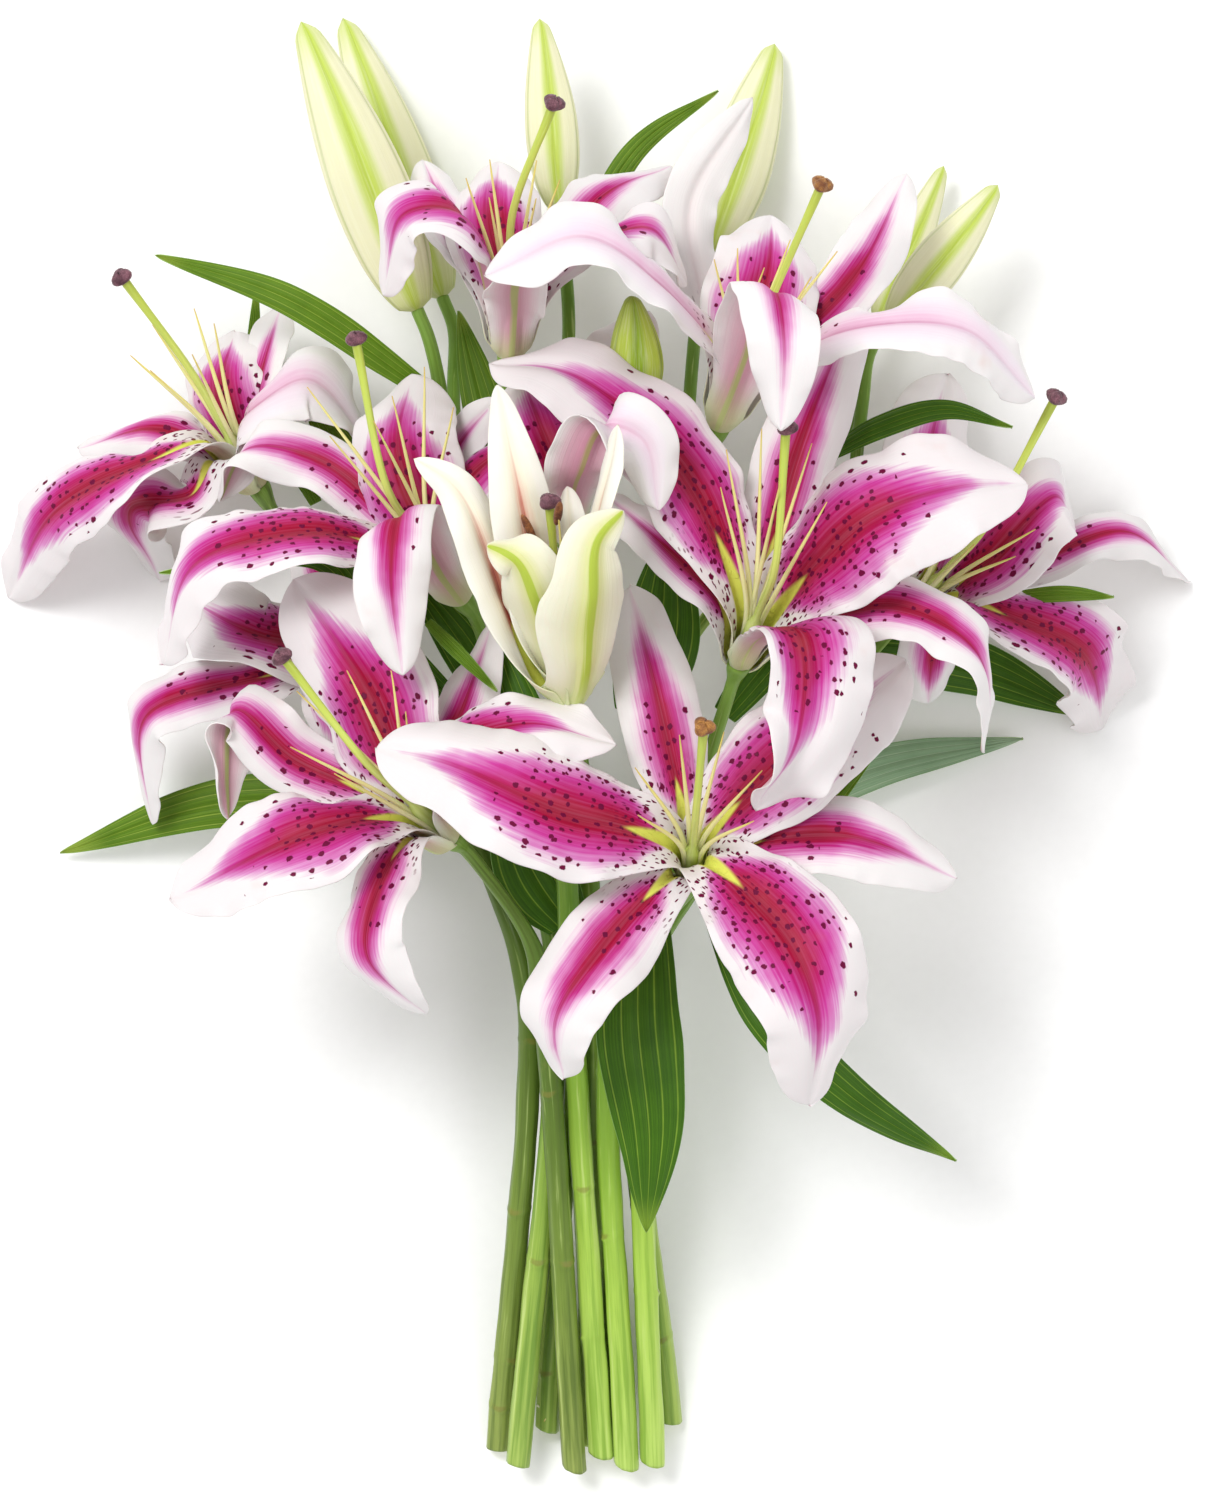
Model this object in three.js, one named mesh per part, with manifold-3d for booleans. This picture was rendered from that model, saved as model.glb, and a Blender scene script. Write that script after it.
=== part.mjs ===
// A bunch of cut Oriental lilies, laid on its back. Millimetres, +Z up.
// +Y runs from the cut ends to the bud tips, +X to the right of the bunch seen from above.
import * as THREE from 'three';
import { mergeVertices } from 'three/addons/utils/BufferGeometryUtils.js';
import Module from 'manifold-3d';

const wasm = await Module();
wasm.setup();

// Overall sizes. The layout tables are drawn for the drawn* values and stretch to these.
const drawnWidth = 416;
const drawnLength = 506;
const drawnDepth = 200;
const headWidth = 416;
const bunchLength = 506;
const headDepth = 200;

// Stems
const stemDiameter = 8.6;
const stemGap = 0.6;
const stemTopShare = 0.8;
const waistY = 165;
const waistHeight = 50;
const pedicelDiameter = 4.6;
const pedicelNeck = 12;
const receptacleDiameter = 8.4;
const stemSides = 8;
const stemSteps = 13;
const pedicelSides = 6;
const pedicelSteps = 6;

// Flowers
const innerTepalWidth = 44;
const outerTepalWidth = 29;
const tepalThickness = 1.5;
const tepalTrough = 0.16;
const clawWidth = 8.5;
const tepalSteps = 7;
const hiddenTepalSteps = 5;
const tubeDepth = 26;
const openingTubeDepth = 15.6;
const whorlRingHeight = 3;
const whorlRingSides = 8;
const clearance = 0.3;
const pistilBaseRadius = 2.7;
const innerRingRadius = 4.9;
const ringWall = 1.8;
const ringGap = 1;
const outerRingRadius = innerRingRadius + ringGap + ringWall;
const throatSpread = 8;
const whorlSpacing = 4;
const styleDiameter = 3.2;
const styleSides = 6;
const stigmaDiameter = 8.5;
const filamentDiameter = 1.7;
const filamentBow = 3.2;
const filamentSides = 4;
const filamentSteps = 3;
const filamentLength = 68;
const filamentSpread = 16;

// Leaves and buds
const leafThickness = 1.2;
const leafFootShare = 0.22;
const leafTrough = 0.18;
const leafSteps = 7;
const budFootShare = 0.24;
const budRibShare = 0.05;
const budSides = 9;

const green = 0x6f9a3a;
const deepGreen = 0x3f6b22;
const pink = 0xc9408a;
const palePink = 0xe3a3c4;
const cream = 0xece8c4;
const paleGreen = 0xcfdc8f;

// Each open flower: its seat on the pedicel, the way it faces, the stigma and the tepal centrelines.
// A tepal's points are the places it passes after the throat, the last one being its tip.
const lilies = [
  {
    name: 'front_lily',
    seat: [38, 207, 112],
    facing: [0.03, 0.4, 0.91],
    stigma: [42, 257, 196],
    anthers: [
      [19, 244, 168], [34, 255, 172], [49, 256, 172],
      [62, 243, 164], [59, 226, 176], [20, 228, 178],
    ],
    inner: [
      { wide: 1.05, path: [[-10, 231, 162], [-45, 246, 160], [-69, 251, 149]] },
      { wide: 0.95, path: [[72, 248, 138], [112, 281, 112]] },
      { wide: 1.05, path: [[70, 188, 164], [81, 160, 166], [78, 129, 150]] },
    ],
    outer: [
      { wide: 1, path: [[28, 262, 130], [17, 306, 106]] },
      { wide: 1.05, path: [[90, 221, 142], [129, 206, 124]] },
      { wide: 1.15, path: [[8, 183, 152], [-7, 160, 154], [-5, 138, 140]] },
    ],
  },
  {
    name: 'right_lily',
    seat: [55, 280, 100],
    facing: [0.2, 0.55, 0.81],
    stigma: [70, 358, 168],
    anthers: [
      [48, 339, 158], [50, 352, 150], [62, 359, 152],
      [79, 354, 152], [84, 334, 160], [68, 340, 166],
    ],
    inner: [
      { wide: 0.95, path: [[34, 346, 134], [0, 376, 130], [-31, 382, 118]] },
      { wide: 1.1, path: [[98, 329, 148], [130, 340, 146], [153, 341, 136]] },
      { wide: 0.95, path: [[80, 288, 164], [79, 256, 172], [60, 229, 162]] },
    ],
    outer: [
      { wide: 1, path: [[74, 350, 111], [96, 406, 92]] },
      { wide: 0.95, path: [[108, 299, 136], [136, 284, 138], [138, 249, 120]] },
      { wide: 0.7, path: [[34, 314, 124], [8, 338, 118]] },
    ],
  },
  {
    name: 'low_left_lily',
    seat: [-44, 220, 98],
    facing: [-0.5, 0.45, 0.74],
    stigma: [-100, 281, 158],
    anthers: [
      [-96, 270, 142], [-98, 251, 146], [-79, 277, 138],
      [-64, 277, 138], [-59, 263, 142], [-83, 242, 152],
    ],
    inner: [
      { wide: 1.05, path: [[-72, 270, 112], [-98, 309, 96]] },
      { wide: 0.95, path: [[-92, 222, 134], [-140, 199, 116]] },
      { wide: 0.6, path: [[-42, 251, 136], [-16, 259.5, 147], [13, 252, 146]] },
    ],
    outer: [
      { wide: 0.85, path: [[-98, 247, 104], [-118, 264, 105], [-121, 226, 94]] },
      { wide: 0.95, path: [[-70, 200, 134], [-72, 180, 136], [-52, 160, 122]] },
      { wide: 0.8, path: [[-40, 265, 104], [-30, 294, 96]] },
    ],
  },
  {
    name: 'middle_left_lily',
    seat: [-41, 303, 84],
    facing: [-0.42, 0.62, 0.66],
    stigma: [-76, 389, 134],
    anthers: [
      [-93, 374, 118], [-64, 371, 116], [-53, 381, 114],
      [-43, 367, 120], [-85, 357, 128], [-70, 362, 132],
    ],
    inner: [
      { wide: 0.95, path: [[-62, 352, 96], [-58, 380, 72]] },
      { wide: 0.8, path: [[-94, 325, 122], [-130, 313, 116], [-143, 279, 96]] },
      { wide: 0.55, path: [[-30, 350, 96], [8, 357, 92]] },
    ],
    outer: [
      { wide: 0.8, path: [[-88, 349, 85], [-114, 354, 79], [-125, 336, 66]] },
      { wide: 0.95, path: [[-61, 329, 138], [-64, 312, 146], [-60, 275, 138]] },
      { wide: 0.7, path: [[-44, 350, 82], [-28, 371, 88]] },
    ],
  },
  {
    name: 'far_left_lily',
    seat: [-112, 342, 34],
    facing: [-0.42, 0.73, 0.54],
    stigma: [-157, 412, 84],
    inner: [
      { wide: 0.7, path: [[-124, 379, 42], [-120, 396, 23]] },
      { wide: 0.8, path: [[-110, 370, 60], [-94, 378, 61], [-75, 359, 49]] },
      { wide: 0.7, path: [[-150, 349, 64], [-182, 332, 46], [-200, 303, 1]] },
    ],
    outer: [
      { wide: 0.7, path: [[-110, 380, 44], [-104, 404, 28]] },
      { wide: 0.7, path: [[-148, 361, 39], [-175, 355, 20]] },
      { wide: 0.95, path: [[-134, 338, 58], [-156, 334, 40], [-147, 309, 1]] },
    ],
  },
  {
    name: 'top_left_lily',
    seat: [-24, 386, 92],
    facing: [0.02, 0.86, 0.5],
    stigma: [-9, 469, 142],
    inner: [
      { wide: 0.8, path: [[-29, 431, 92], [-28, 454, 62]] },
      { wide: 0.65, path: [[6, 422, 126], [24, 428, 124], [37, 409, 108]] },
      { wide: 0.8, path: [[-44, 433, 132], [-60, 432, 132], [-67, 405, 116]] },
    ],
    outer: [
      { wide: 0.85, path: [[6, 438, 94], [32, 452, 72]] },
      { wide: 0.75, path: [[-20, 412, 140], [-8, 424, 148]] },
      { wide: 0.7, path: [[-46, 434, 84], [-54, 454, 62]] },
    ],
  },
  {
    name: 'top_right_lily',
    seat: [48, 362, 96],
    facing: [0.3, 0.72, 0.62],
    stigma: [82, 441, 150],
    anthers: [
      [46, 417, 136], [54, 421, 130], [63, 414, 140],
      [79, 411, 142], [72, 424, 128], [88, 420, 130],
    ],
    inner: [
      { wide: 0.8, path: [[27, 409, 147], [0, 424, 157], [-32, 411, 148]] },
      { wide: 0.9, path: [[64, 412, 108], [66, 434, 84]] },
      { wide: 0.75, path: [[100, 394, 140], [132, 393, 138], [156, 370, 118]] },
    ],
    outer: [
      { wide: 0.75, path: [[42, 408, 92], [38, 438, 82], [60, 475, 76]] },
      { wide: 0.85, path: [[94, 412, 99], [113, 449, 76]] },
      { wide: 1, path: [[66, 404, 181], [69, 389, 192], [68, 357, 184]] },
    ],
  },
  {
    name: 'far_right_lily',
    seat: [112, 296, 38],
    facing: [0.45, 0.5, 0.74],
    stigma: [163, 370, 100],
    inner: [
      { wide: 0.85, path: [[142, 317, 66], [164, 338, 68], [172, 327, 48]] },
      { wide: 0.8, path: [[148, 296, 70], [174, 284, 54], [183, 257, 1]] },
      { wide: 0.85, path: [[120, 346, 46], [128, 381, 26]] },
    ],
    outer: [
      { wide: 0.6, path: [[158, 316, 44], [188, 326, 36], [213, 309, 1]] },
      { wide: 0.8, path: [[122, 282, 58], [121, 266, 36]] },
      { wide: 0.9, path: [[96, 322, 54], [86, 350, 40]] },
    ],
  },
];

// The half-open flower in the middle, still cupped, with its tips just turning out.
const openingLily = {
  name: 'opening_lily',
  seat: [-3, 266, 134],
  facing: [-0.1, 0.9, 0.42],
  stigma: [-10, 333, 168],
  anthers: [
    [-17, 325, 164], [-7, 330, 171], [-12, 318, 172],
    [-3, 322, 166], [-17, 316, 166], [-6, 314, 170],
  ],
  isOpening: true,
  inner: [
    { wide: 0.7, path: [[-15, 300, 172], [-21, 314, 178], [-31, 319, 174]] },
    { wide: 0.5, path: [[-18, 325, 158], [-28, 374, 160]] },
    { wide: 0.5, path: [[6, 325, 168], [13, 360, 172]] },
  ],
  outer: [
    { wide: 0.95, path: [[5, 300, 178], [6, 320, 184], [15, 331, 180]] },
    { wide: 0.65, path: [[-30, 315, 157], [-41, 338, 158], [-56, 349, 154]] },
    { wide: 0.5, path: [[-3, 320, 148], [-4, 340, 145]] },
  ],
};

// Two flowers deep in the bunch, of which only the tepals come into sight.
const hiddenLilies = [
  {
    name: 'hidden_left_lily',
    isHidden: true,
    seat: [-72, 276, 36],
    facing: [-0.4, 0.5, 0.77],
    inner: [
      { wide: 0.85, path: [[-112, 290, 68], [-137, 303, 52]] },
      { wide: 0.7, path: [[-80, 250, 72], [-92, 236, 60]] },
      { wide: 0.7, path: [[-68, 306, 56], [-62, 326, 44]] },
    ],
    outer: [
      { wide: 0.85, path: [[-112, 274, 66], [-150, 262, 54], [-149, 224, 24]] },
      { wide: 0.8, path: [[-56, 262, 70], [-50, 244, 60]] },
      { wide: 0.8, path: [[-88, 306, 52], [-96, 328, 36]] },
    ],
  },
  {
    name: 'hidden_middle_lily',
    isHidden: true,
    seat: [-4, 322, 98],
    facing: [0.0, 0.7, 0.71],
    inner: [
      { wide: 0.6, path: [[0, 344, 150], [8, 360, 160], [22, 355, 159], [27, 331, 151]] },
      { wide: 0.8, path: [[-14, 362, 108], [-20, 378, 92]] },
      { wide: 0.7, path: [[4, 372, 88], [24, 402, 70]] },
    ],
    outer: [],
  },
];

// Flower buds, from seat to tip.
const buds = [
  { name: 'tall_left_bud', seat: [-56, 402, 72], tip: [-96, 501, 80], wide: 27 },
  { name: 'tall_left_back_bud', seat: [-48, 408, 18], tip: [-83, 506, 6], wide: 24 },
  { name: 'top_middle_bud', seat: [-7, 437, 48], tip: [-14, 504, 40], wide: 18 },
  { name: 'top_right_bud', seat: [46, 424, 18], tip: [68, 497, 6], wide: 23 },
  { name: 'right_bud', seat: [108, 398, 54], tip: [145, 446, 46], wide: 18 },
  { name: 'right_narrow_bud', seat: [104, 400, 20], tip: [127, 454, 12], wide: 14 },
  { name: 'small_green_bud', seat: [20, 370, 98], tip: [18, 405, 122], wide: 18 },
];

// Lower stems: cut end and waist in lanes of one stem and its gap; the rest in the drawn layout.
// branches start at the stem point of that number and end at a flower or bud.
const stems = [
  { name: 'stem_1', cut: [-3.1, 6, 0], waist: [-2, 0.2], up: [[-30, 205, 48], [-54, 250, 38]],
    to: 'hidden_left_lily', branches: [{ from: 0.85, via: [[-84, 305, 16]], to: 'far_left_lily' }] },
  { name: 'stem_2', cut: [-2.35, 1, 1], waist: [-0.85, 0.7], up: [[-13, 205, 58], [-24, 255, 62]],
    to: 'middle_left_lily', branches: [] },
  { name: 'stem_3', cut: [-1.25, 13, 0], waist: [-0.65, -0.9],
    up: [[-20, 225, 38], [-38, 300, 44], [-46, 360, 56]],
    to: 'tall_left_bud', branches: [{ from: 0.8, via: [[-44, 375, 26]], to: 'tall_left_back_bud' }] },
  { name: 'stem_4', cut: [-0.2, 0, 1], waist: [-1.4, 2.2], up: [[-17, 184, 76]],
    to: 'low_left_lily', branches: [] },
  { name: 'stem_5', cut: [0.8, 5, 1], waist: [-0.3, 1.8], up: [[-4, 200, 78], [-5, 235, 106]],
    to: 'opening_lily', branches: [] },
  { name: 'stem_6', cut: [1.75, 1, 1], waist: [1.3, 1.8], up: [[24, 186, 76]],
    to: 'front_lily', branches: [] },
  { name: 'stem_7', cut: [2.75, 2, 1], waist: [2.4, 1.5], up: [[32, 205, 64], [44, 245, 74]],
    to: 'right_lily', branches: [] },
  { name: 'stem_8', cut: [3.4, 16, 0], waist: [2.1, -0.1], up: [[40, 205, 42], [76, 255, 34]],
    to: 'far_right_lily', branches: [
      { from: 0.8, via: [[92, 320, 22], [98, 370, 46]], to: 'right_bud' },
    ] },
  { name: 'stem_9', cut: [0.3, 8, 0], waist: [0.5, 0.5], up: [[2, 220, 56], [-8, 300, 66], [-18, 350, 74]],
    to: 'top_left_lily', branches: [
      { from: 0.72, via: [], to: 'hidden_middle_lily' },
      { from: 0.86, via: [[-4, 390, 52]], to: 'top_middle_bud' },
    ] },
  { name: 'stem_10', cut: [1.45, 5, 0], waist: [1.2, -1.1],
    up: [[22, 220, 40], [34, 290, 54], [42, 335, 74]],
    to: 'top_right_lily', branches: [
      { from: 0.8, via: [[38, 370, 36]], to: 'top_right_bud' },
      { from: 0.75, via: [[92, 360, 30]], to: 'right_narrow_bud' },
      { from: 0.9, via: [], to: 'small_green_bud' },
    ] },
];

// Leaves, from where they leave a stem to the tip.
const leaves = [
  { name: 'leaf_upper_left', wide: 12, path: [[-53, 374, 68], [-100, 405, 78], [-147, 421, 70]] },
  { name: 'leaf_far_left', wide: 8, path: [[-92, 336, 16], [-112, 376, 18], [-113, 413, 20]] },
  { name: 'leaf_left_behind', wide: 14, path: [[-60, 330, 34], [-84, 356, 36], [-98, 380, 30]] },
  { name: 'leaf_top', wide: 9, path: [[-2, 420, 72], [20, 458, 64], [48, 478, 60]] },
  { name: 'leaf_right_arched', wide: 9,
    path: [[86, 352, 76], [103, 361, 88], [126, 367, 92], [149, 361, 86]] },
  { name: 'leaf_low_left', wide: 20, path: [[-40, 226, 30], [-120, 232, 26], [-182, 214, 6]] },
  { name: 'leaf_bent_left', wide: 11,
    path: [[-44, 268, 70], [-72, 296, 84], [-88, 316, 90], [-145, 311, 76]] },
  { name: 'leaf_right', wide: 22, path: [[90, 286, 26], [140, 278, 10], [176, 262, 14]] },
  { name: 'leaf_low_right', wide: 17, path: [[44, 216, 26], [100, 243, 14], [155, 254, 6]] },
  { name: 'leaf_hanging', wide: 31, path: [[22, 196, 100], [20, 160, 112], [24, 118, 104], [23, 84, 86]] },
  { name: 'leaf_hanging_right', wide: 18,
    path: [[46, 196, 86], [64, 160, 108], [92, 132, 100], [130, 108, 70]] },
  { name: 'leaf_low_middle', wide: 28, path: [[-4, 190, 65], [-16, 208, 67], [-26, 236, 72]] },
  { name: 'leaf_middle', wide: 30, path: [[20, 262, 72], [28, 292, 96], [30, 326, 100]] },
  { name: 'leaf_upper_middle', wide: 16, path: [[-24, 335, 60], [-33, 368, 60], [-42, 402, 56]] },
];

// A drawn place, stretched to the overall sizes.
function spot([x, y, z]) {
  return new THREE.Vector3(
    (x * headWidth) / drawnWidth,
    (y * bunchLength) / drawnLength,
    (z * headDepth) / drawnDepth,
  );
}

// The way a flower faces turns with the same stretch.
function facingOf(lily) {
  return spot(lily.facing).normalize();
}

// Joins rings of points into one closed skin; a ring of one point is a tip.
function skin(rings) {
  const corners = [];
  const faces = [];
  const starts = rings.map((ring) => {
    const start = corners.length / 3;
    ring.forEach((p) => corners.push(p.x, p.y, p.z));
    return start;
  });
  for (let i = 0; i + 1 < rings.length; i += 1) {
    const count = Math.max(rings[i].length, rings[i + 1].length);
    for (let j = 0; j < count; j += 1) {
      const k = (j + 1) % count;
      const low = (n) => starts[i] + (rings[i].length > 1 ? n : 0);
      const high = (n) => starts[i + 1] + (rings[i + 1].length > 1 ? n : 0);
      if (rings[i].length > 1) faces.push(low(j), low(k), high(j));
      if (rings[i + 1].length > 1) faces.push(low(k), high(k), high(j));
    }
  }
  closeEnd(faces, starts[0], rings[0].length, true);
  closeEnd(faces, starts[rings.length - 1], rings[rings.length - 1].length, false);
  const geometry = new THREE.BufferGeometry();
  geometry.setAttribute('position', new THREE.Float32BufferAttribute(corners, 3));
  geometry.setIndex(faces);
  return geometry;
}

// Closes an end ring with a strip from one side of the ring to the other.
function closeEnd(faces, start, count, atStart) {
  let low = 0;
  let high = count - 1;
  while (count > 2 && low + 1 < high) {
    const next = low + 1;
    const triangles = [[low, next, high]];
    if (next < high - 1) triangles.push([next, high - 1, high]);
    triangles.forEach(([a, b, c]) => {
      faces.push(start + a, start + (atStart ? c : b), start + (atStart ? b : c));
    });
    low += 1;
    high -= 1;
  }
}

function solid(geometry) {
  const bare = geometry.clone();
  bare.deleteAttribute('normal');
  bare.deleteAttribute('uv');
  const merged = mergeVertices(bare, 1e-4);
  return new wasm.Manifold(new wasm.Mesh({
    numProp: 3,
    vertProperties: new Float32Array(merged.attributes.position.array),
    triVerts: new Uint32Array(merged.index.array),
  }));
}

function joined(geometries) {
  const whole = geometries.map(solid).reduce((sum, body) => sum.add(body));
  const mesh = whole.getMesh();
  const geometry = new THREE.BufferGeometry();
  geometry.setAttribute('position', new THREE.Float32BufferAttribute(mesh.vertProperties, 3));
  geometry.setIndex(Array.from(mesh.triVerts));
  return geometry;
}

const smooth = THREE.MathUtils.smoothstep;

// A blade swept along a curve: its width direction starts along side, and profile(u) gives the half
// width, the lift of the margins and the thickness.
function blade(points, side, steps, profile) {
  const curve = new THREE.CatmullRomCurve3(points, false, 'centripetal');
  const columns = [-1, -0.4, 0.4, 1];
  const rings = [];
  for (let i = 0; i <= steps; i += 1) {
    const u = i / steps;
    const centre = curve.getPointAt(u);
    const along = curve.getTangentAt(u);
    const across = side.clone().addScaledVector(along, -side.dot(along)).normalize();
    const inward = along.clone().cross(across);
    const { halfWidth, lift, thickness } = profile(u);
    const place = (v, offset) => centre.clone()
      .addScaledVector(across, halfWidth * v)
      .addScaledVector(inward, lift * (v * v) + offset);
    if (i === steps) {
      rings.push([centre]);
    } else {
      const upper = columns.map((v) => place(v, Math.abs(v) < 1 ? thickness / 2 : 0));
      const lower = columns.slice(1, -1).reverse().map((v) => place(v, -thickness / 2));
      rings.push([...upper, ...lower]);
    }
  }
  return skin(rings.map((ring) => ring.slice().reverse()));
}

// Share of full width from the narrow claw, through the broad middle, to the tip.
function tepalShape(u, claw) {
  const opening = claw + (1 - claw) * smooth(u, 0.1, 0.54);
  const past = Math.max(0, (u - 0.5) / 0.5);
  return opening * (1 - past ** 2) ** 0.85;
}

function tepal(lily, { wide, path }, isInner) {
  const seat = spot(lily.seat);
  const facing = facingOf(lily);
  const points = path.map(spot);
  const outward = points[0].clone().sub(seat);
  outward.addScaledVector(facing, -outward.dot(facing)).normalize();
  const ring = (isInner ? innerRingRadius : outerRingRadius) - ringWall / 2;
  const spread = throatSpread + (isInner ? 0 : whorlSpacing);
  const start = seat.clone().addScaledVector(outward, ring).addScaledVector(facing, clearance);
  const depth = (lily.isOpening ? openingTubeDepth : tubeDepth) - (isInner ? 0 : whorlSpacing);
  const throat = seat.clone().addScaledVector(facing, depth).addScaledVector(outward, spread);
  const side = facing.clone().cross(outward);
  const fullWidth = wide * (isInner ? innerTepalWidth : outerTepalWidth);
  const claw = clawWidth / fullWidth;
  return blade([start, throat, ...points], side, lily.isHidden ? hiddenTepalSteps : tepalSteps, (u) => {
    const halfWidth = (fullWidth / 2) * tepalShape(u, claw);
    const cup = halfWidth ** 2 / (2 * (ring + spread * smooth(u, 0, 0.3)));
    const trough = tepalTrough * halfWidth;
    const tube = 1 - smooth(u, 0.12, 0.4);
    return { halfWidth, lift: cup * tube + trough * (1 - tube), thickness: tepalThickness };
  });
}

// A plain collar round the seat that joins the tepals of one whorl.
function whorlRing(lily, radius) {
  const profile = [
    new THREE.Vector2(radius - ringWall, 0),
    new THREE.Vector2(radius, 0),
    new THREE.Vector2(radius, whorlRingHeight),
    new THREE.Vector2(radius - ringWall, whorlRingHeight),
    new THREE.Vector2(radius - ringWall, 0),
  ];
  return seated(new THREE.LatheGeometry(profile, whorlRingSides), lily);
}

// The solid seat of a flower whose two whorls are one piece.
function plug(lily) {
  const profile = [
    new THREE.Vector2(0, 0),
    new THREE.Vector2(outerRingRadius, 0),
    new THREE.Vector2(outerRingRadius, whorlRingHeight),
    new THREE.Vector2(0, whorlRingHeight),
  ];
  return seated(new THREE.LatheGeometry(profile, whorlRingSides), lily);
}

// Turns a lathed piece from its own +Y to the way the flower faces and moves it to the seat.
function seated(geometry, lily) {
  const facing = facingOf(lily);
  const turn = new THREE.Quaternion().setFromUnitVectors(new THREE.Vector3(0, 1, 0), facing);
  const place = new THREE.Matrix4().compose(spot(lily.seat), turn, new THREE.Vector3(1, 1, 1));
  return geometry.clone().applyMatrix4(place);
}

// A round rod along a curve with a radius that changes from end to end.
function rod(points, radiusAt, sides, steps) {
  const curve = new THREE.CatmullRomCurve3(points, false, 'centripetal');
  let side = new THREE.Vector3(1, 0.02, 0.01);
  const rings = [];
  for (let i = 0; i <= steps; i += 1) {
    const u = i / steps;
    const centre = curve.getPointAt(u);
    const along = curve.getTangentAt(u);
    side = side.clone().addScaledVector(along, -side.dot(along)).normalize();
    const other = along.clone().cross(side);
    const ring = [];
    for (let j = 0; j < sides; j += 1) {
      const angle = (2 * Math.PI * j) / sides;
      ring.push(centre.clone()
        .addScaledVector(side, radiusAt(u) * Math.cos(angle))
        .addScaledVector(other, radiusAt(u) * Math.sin(angle)));
    }
    rings.push(ring);
  }
  return skin(rings);
}

// Anther places where none are listed: six on a ring round the style.
function anthersOf(lily) {
  if (lily.anthers) return lily.anthers.map(spot);
  const facing = facingOf(lily);
  const side = new THREE.Vector3(1, 0, 0).cross(facing).normalize();
  return Array.from({ length: 6 }, (_, i) => {
    const turned = side.clone().applyAxisAngle(facing, (Math.PI * (i + 0.5)) / 3);
    return spot(lily.seat)
      .addScaledVector(facing, filamentLength)
      .addScaledVector(turned, filamentSpread);
  });
}

// Ovary, style, stigma and six filaments, grown together at the seat.
function pistilAndStamens(lily) {
  const seat = spot(lily.seat);
  const facing = facingOf(lily);
  const foot = seat.clone().addScaledVector(facing, clearance);
  const stigma = spot(lily.stigma);
  const reach = stigma.distanceTo(seat);
  const bend = seat.clone().addScaledVector(facing, reach * 0.55);
  const neck = seat.clone().addScaledVector(facing, reach * 0.3);
  const tip = stigma.clone().sub(bend).setLength(stigmaDiameter * 0.3).add(stigma);
  const pieces = [
    rod([foot, neck, bend, stigma], (u) => (u < 0.2 ? pistilBaseRadius : styleDiameter / 2), styleSides, 6),
    rod([stigma, tip], () => stigmaDiameter / 2, styleSides, 1),
  ];
  anthersOf(lily).forEach((anther) => {
    const outward = anther.clone().sub(seat);
    outward.addScaledVector(facing, -outward.dot(facing)).normalize();
    const start = foot.clone().addScaledVector(facing, 2).addScaledVector(outward, 0.8);
    const middle = seat.clone()
      .addScaledVector(facing, filamentLength * 0.45)
      .addScaledVector(outward, filamentBow);
    pieces.push(rod([start, middle, anther], () => filamentDiameter / 2, filamentSides, filamentSteps));
  });
  return joined(pieces);
}

function stemPlace([lane, y, layer]) {
  const pitch = stemDiameter + stemGap;
  return new THREE.Vector3(lane * pitch, (y * bunchLength) / drawnLength, stemDiameter / 2 + layer * pitch);
}

// Where a branch must arrive: just under a flower's or bud's seat, along the way it faces.
function arrival(name) {
  const lily = [...lilies, openingLily, ...hiddenLilies].find((flower) => flower.name === name);
  const bud = buds.find((one) => one.name === name);
  const seat = spot((lily || bud).seat);
  const facing = lily ? facingOf(lily) : spot(bud.tip).sub(seat).normalize();
  return {
    end: seat.clone().addScaledVector(facing, -clearance),
    before: seat.clone().addScaledVector(facing, -pedicelNeck),
    flare: lily ? receptacleDiameter / 2 : pedicelDiameter / 2,
  };
}

function stemSolid({ cut, waist, up, to, branches }) {
  const pitch = stemDiameter + stemGap;
  const waistPoint = spot([0, waistY, waistHeight]);
  waistPoint.x = waist[0] * pitch;
  waistPoint.z += waist[1] * pitch;
  const top = arrival(to);
  const main = [stemPlace(cut), waistPoint, ...up.map(spot), top.before, top.end];
  const thick = stemDiameter / 2;
  const thin = pedicelDiameter / 2;
  const radius = (u, flare) => {
    const body = thick * (1 - (1 - stemTopShare) * u);
    const neck = THREE.MathUtils.lerp(body, thin, smooth(u, 0.72, 0.86));
    return THREE.MathUtils.lerp(neck, flare, smooth(u, 0.96, 1));
  };
  const pieces = [rod(main, (u) => radius(u, top.flare), stemSides, stemSteps)];
  const curve = new THREE.CatmullRomCurve3(main, false, 'centripetal');
  branches.forEach((branch) => {
    const end = arrival(branch.to);
    const start = curve.getPointAt(branch.from);
    const points = [start, ...branch.via.map(spot), end.before, end.end];
    const branchRadius = (u) => THREE.MathUtils.lerp(thin, end.flare, smooth(u, 0.9, 1));
    pieces.push(rod(points, branchRadius, pedicelSides, pedicelSteps));
  });
  return joined(pieces);
}

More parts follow.
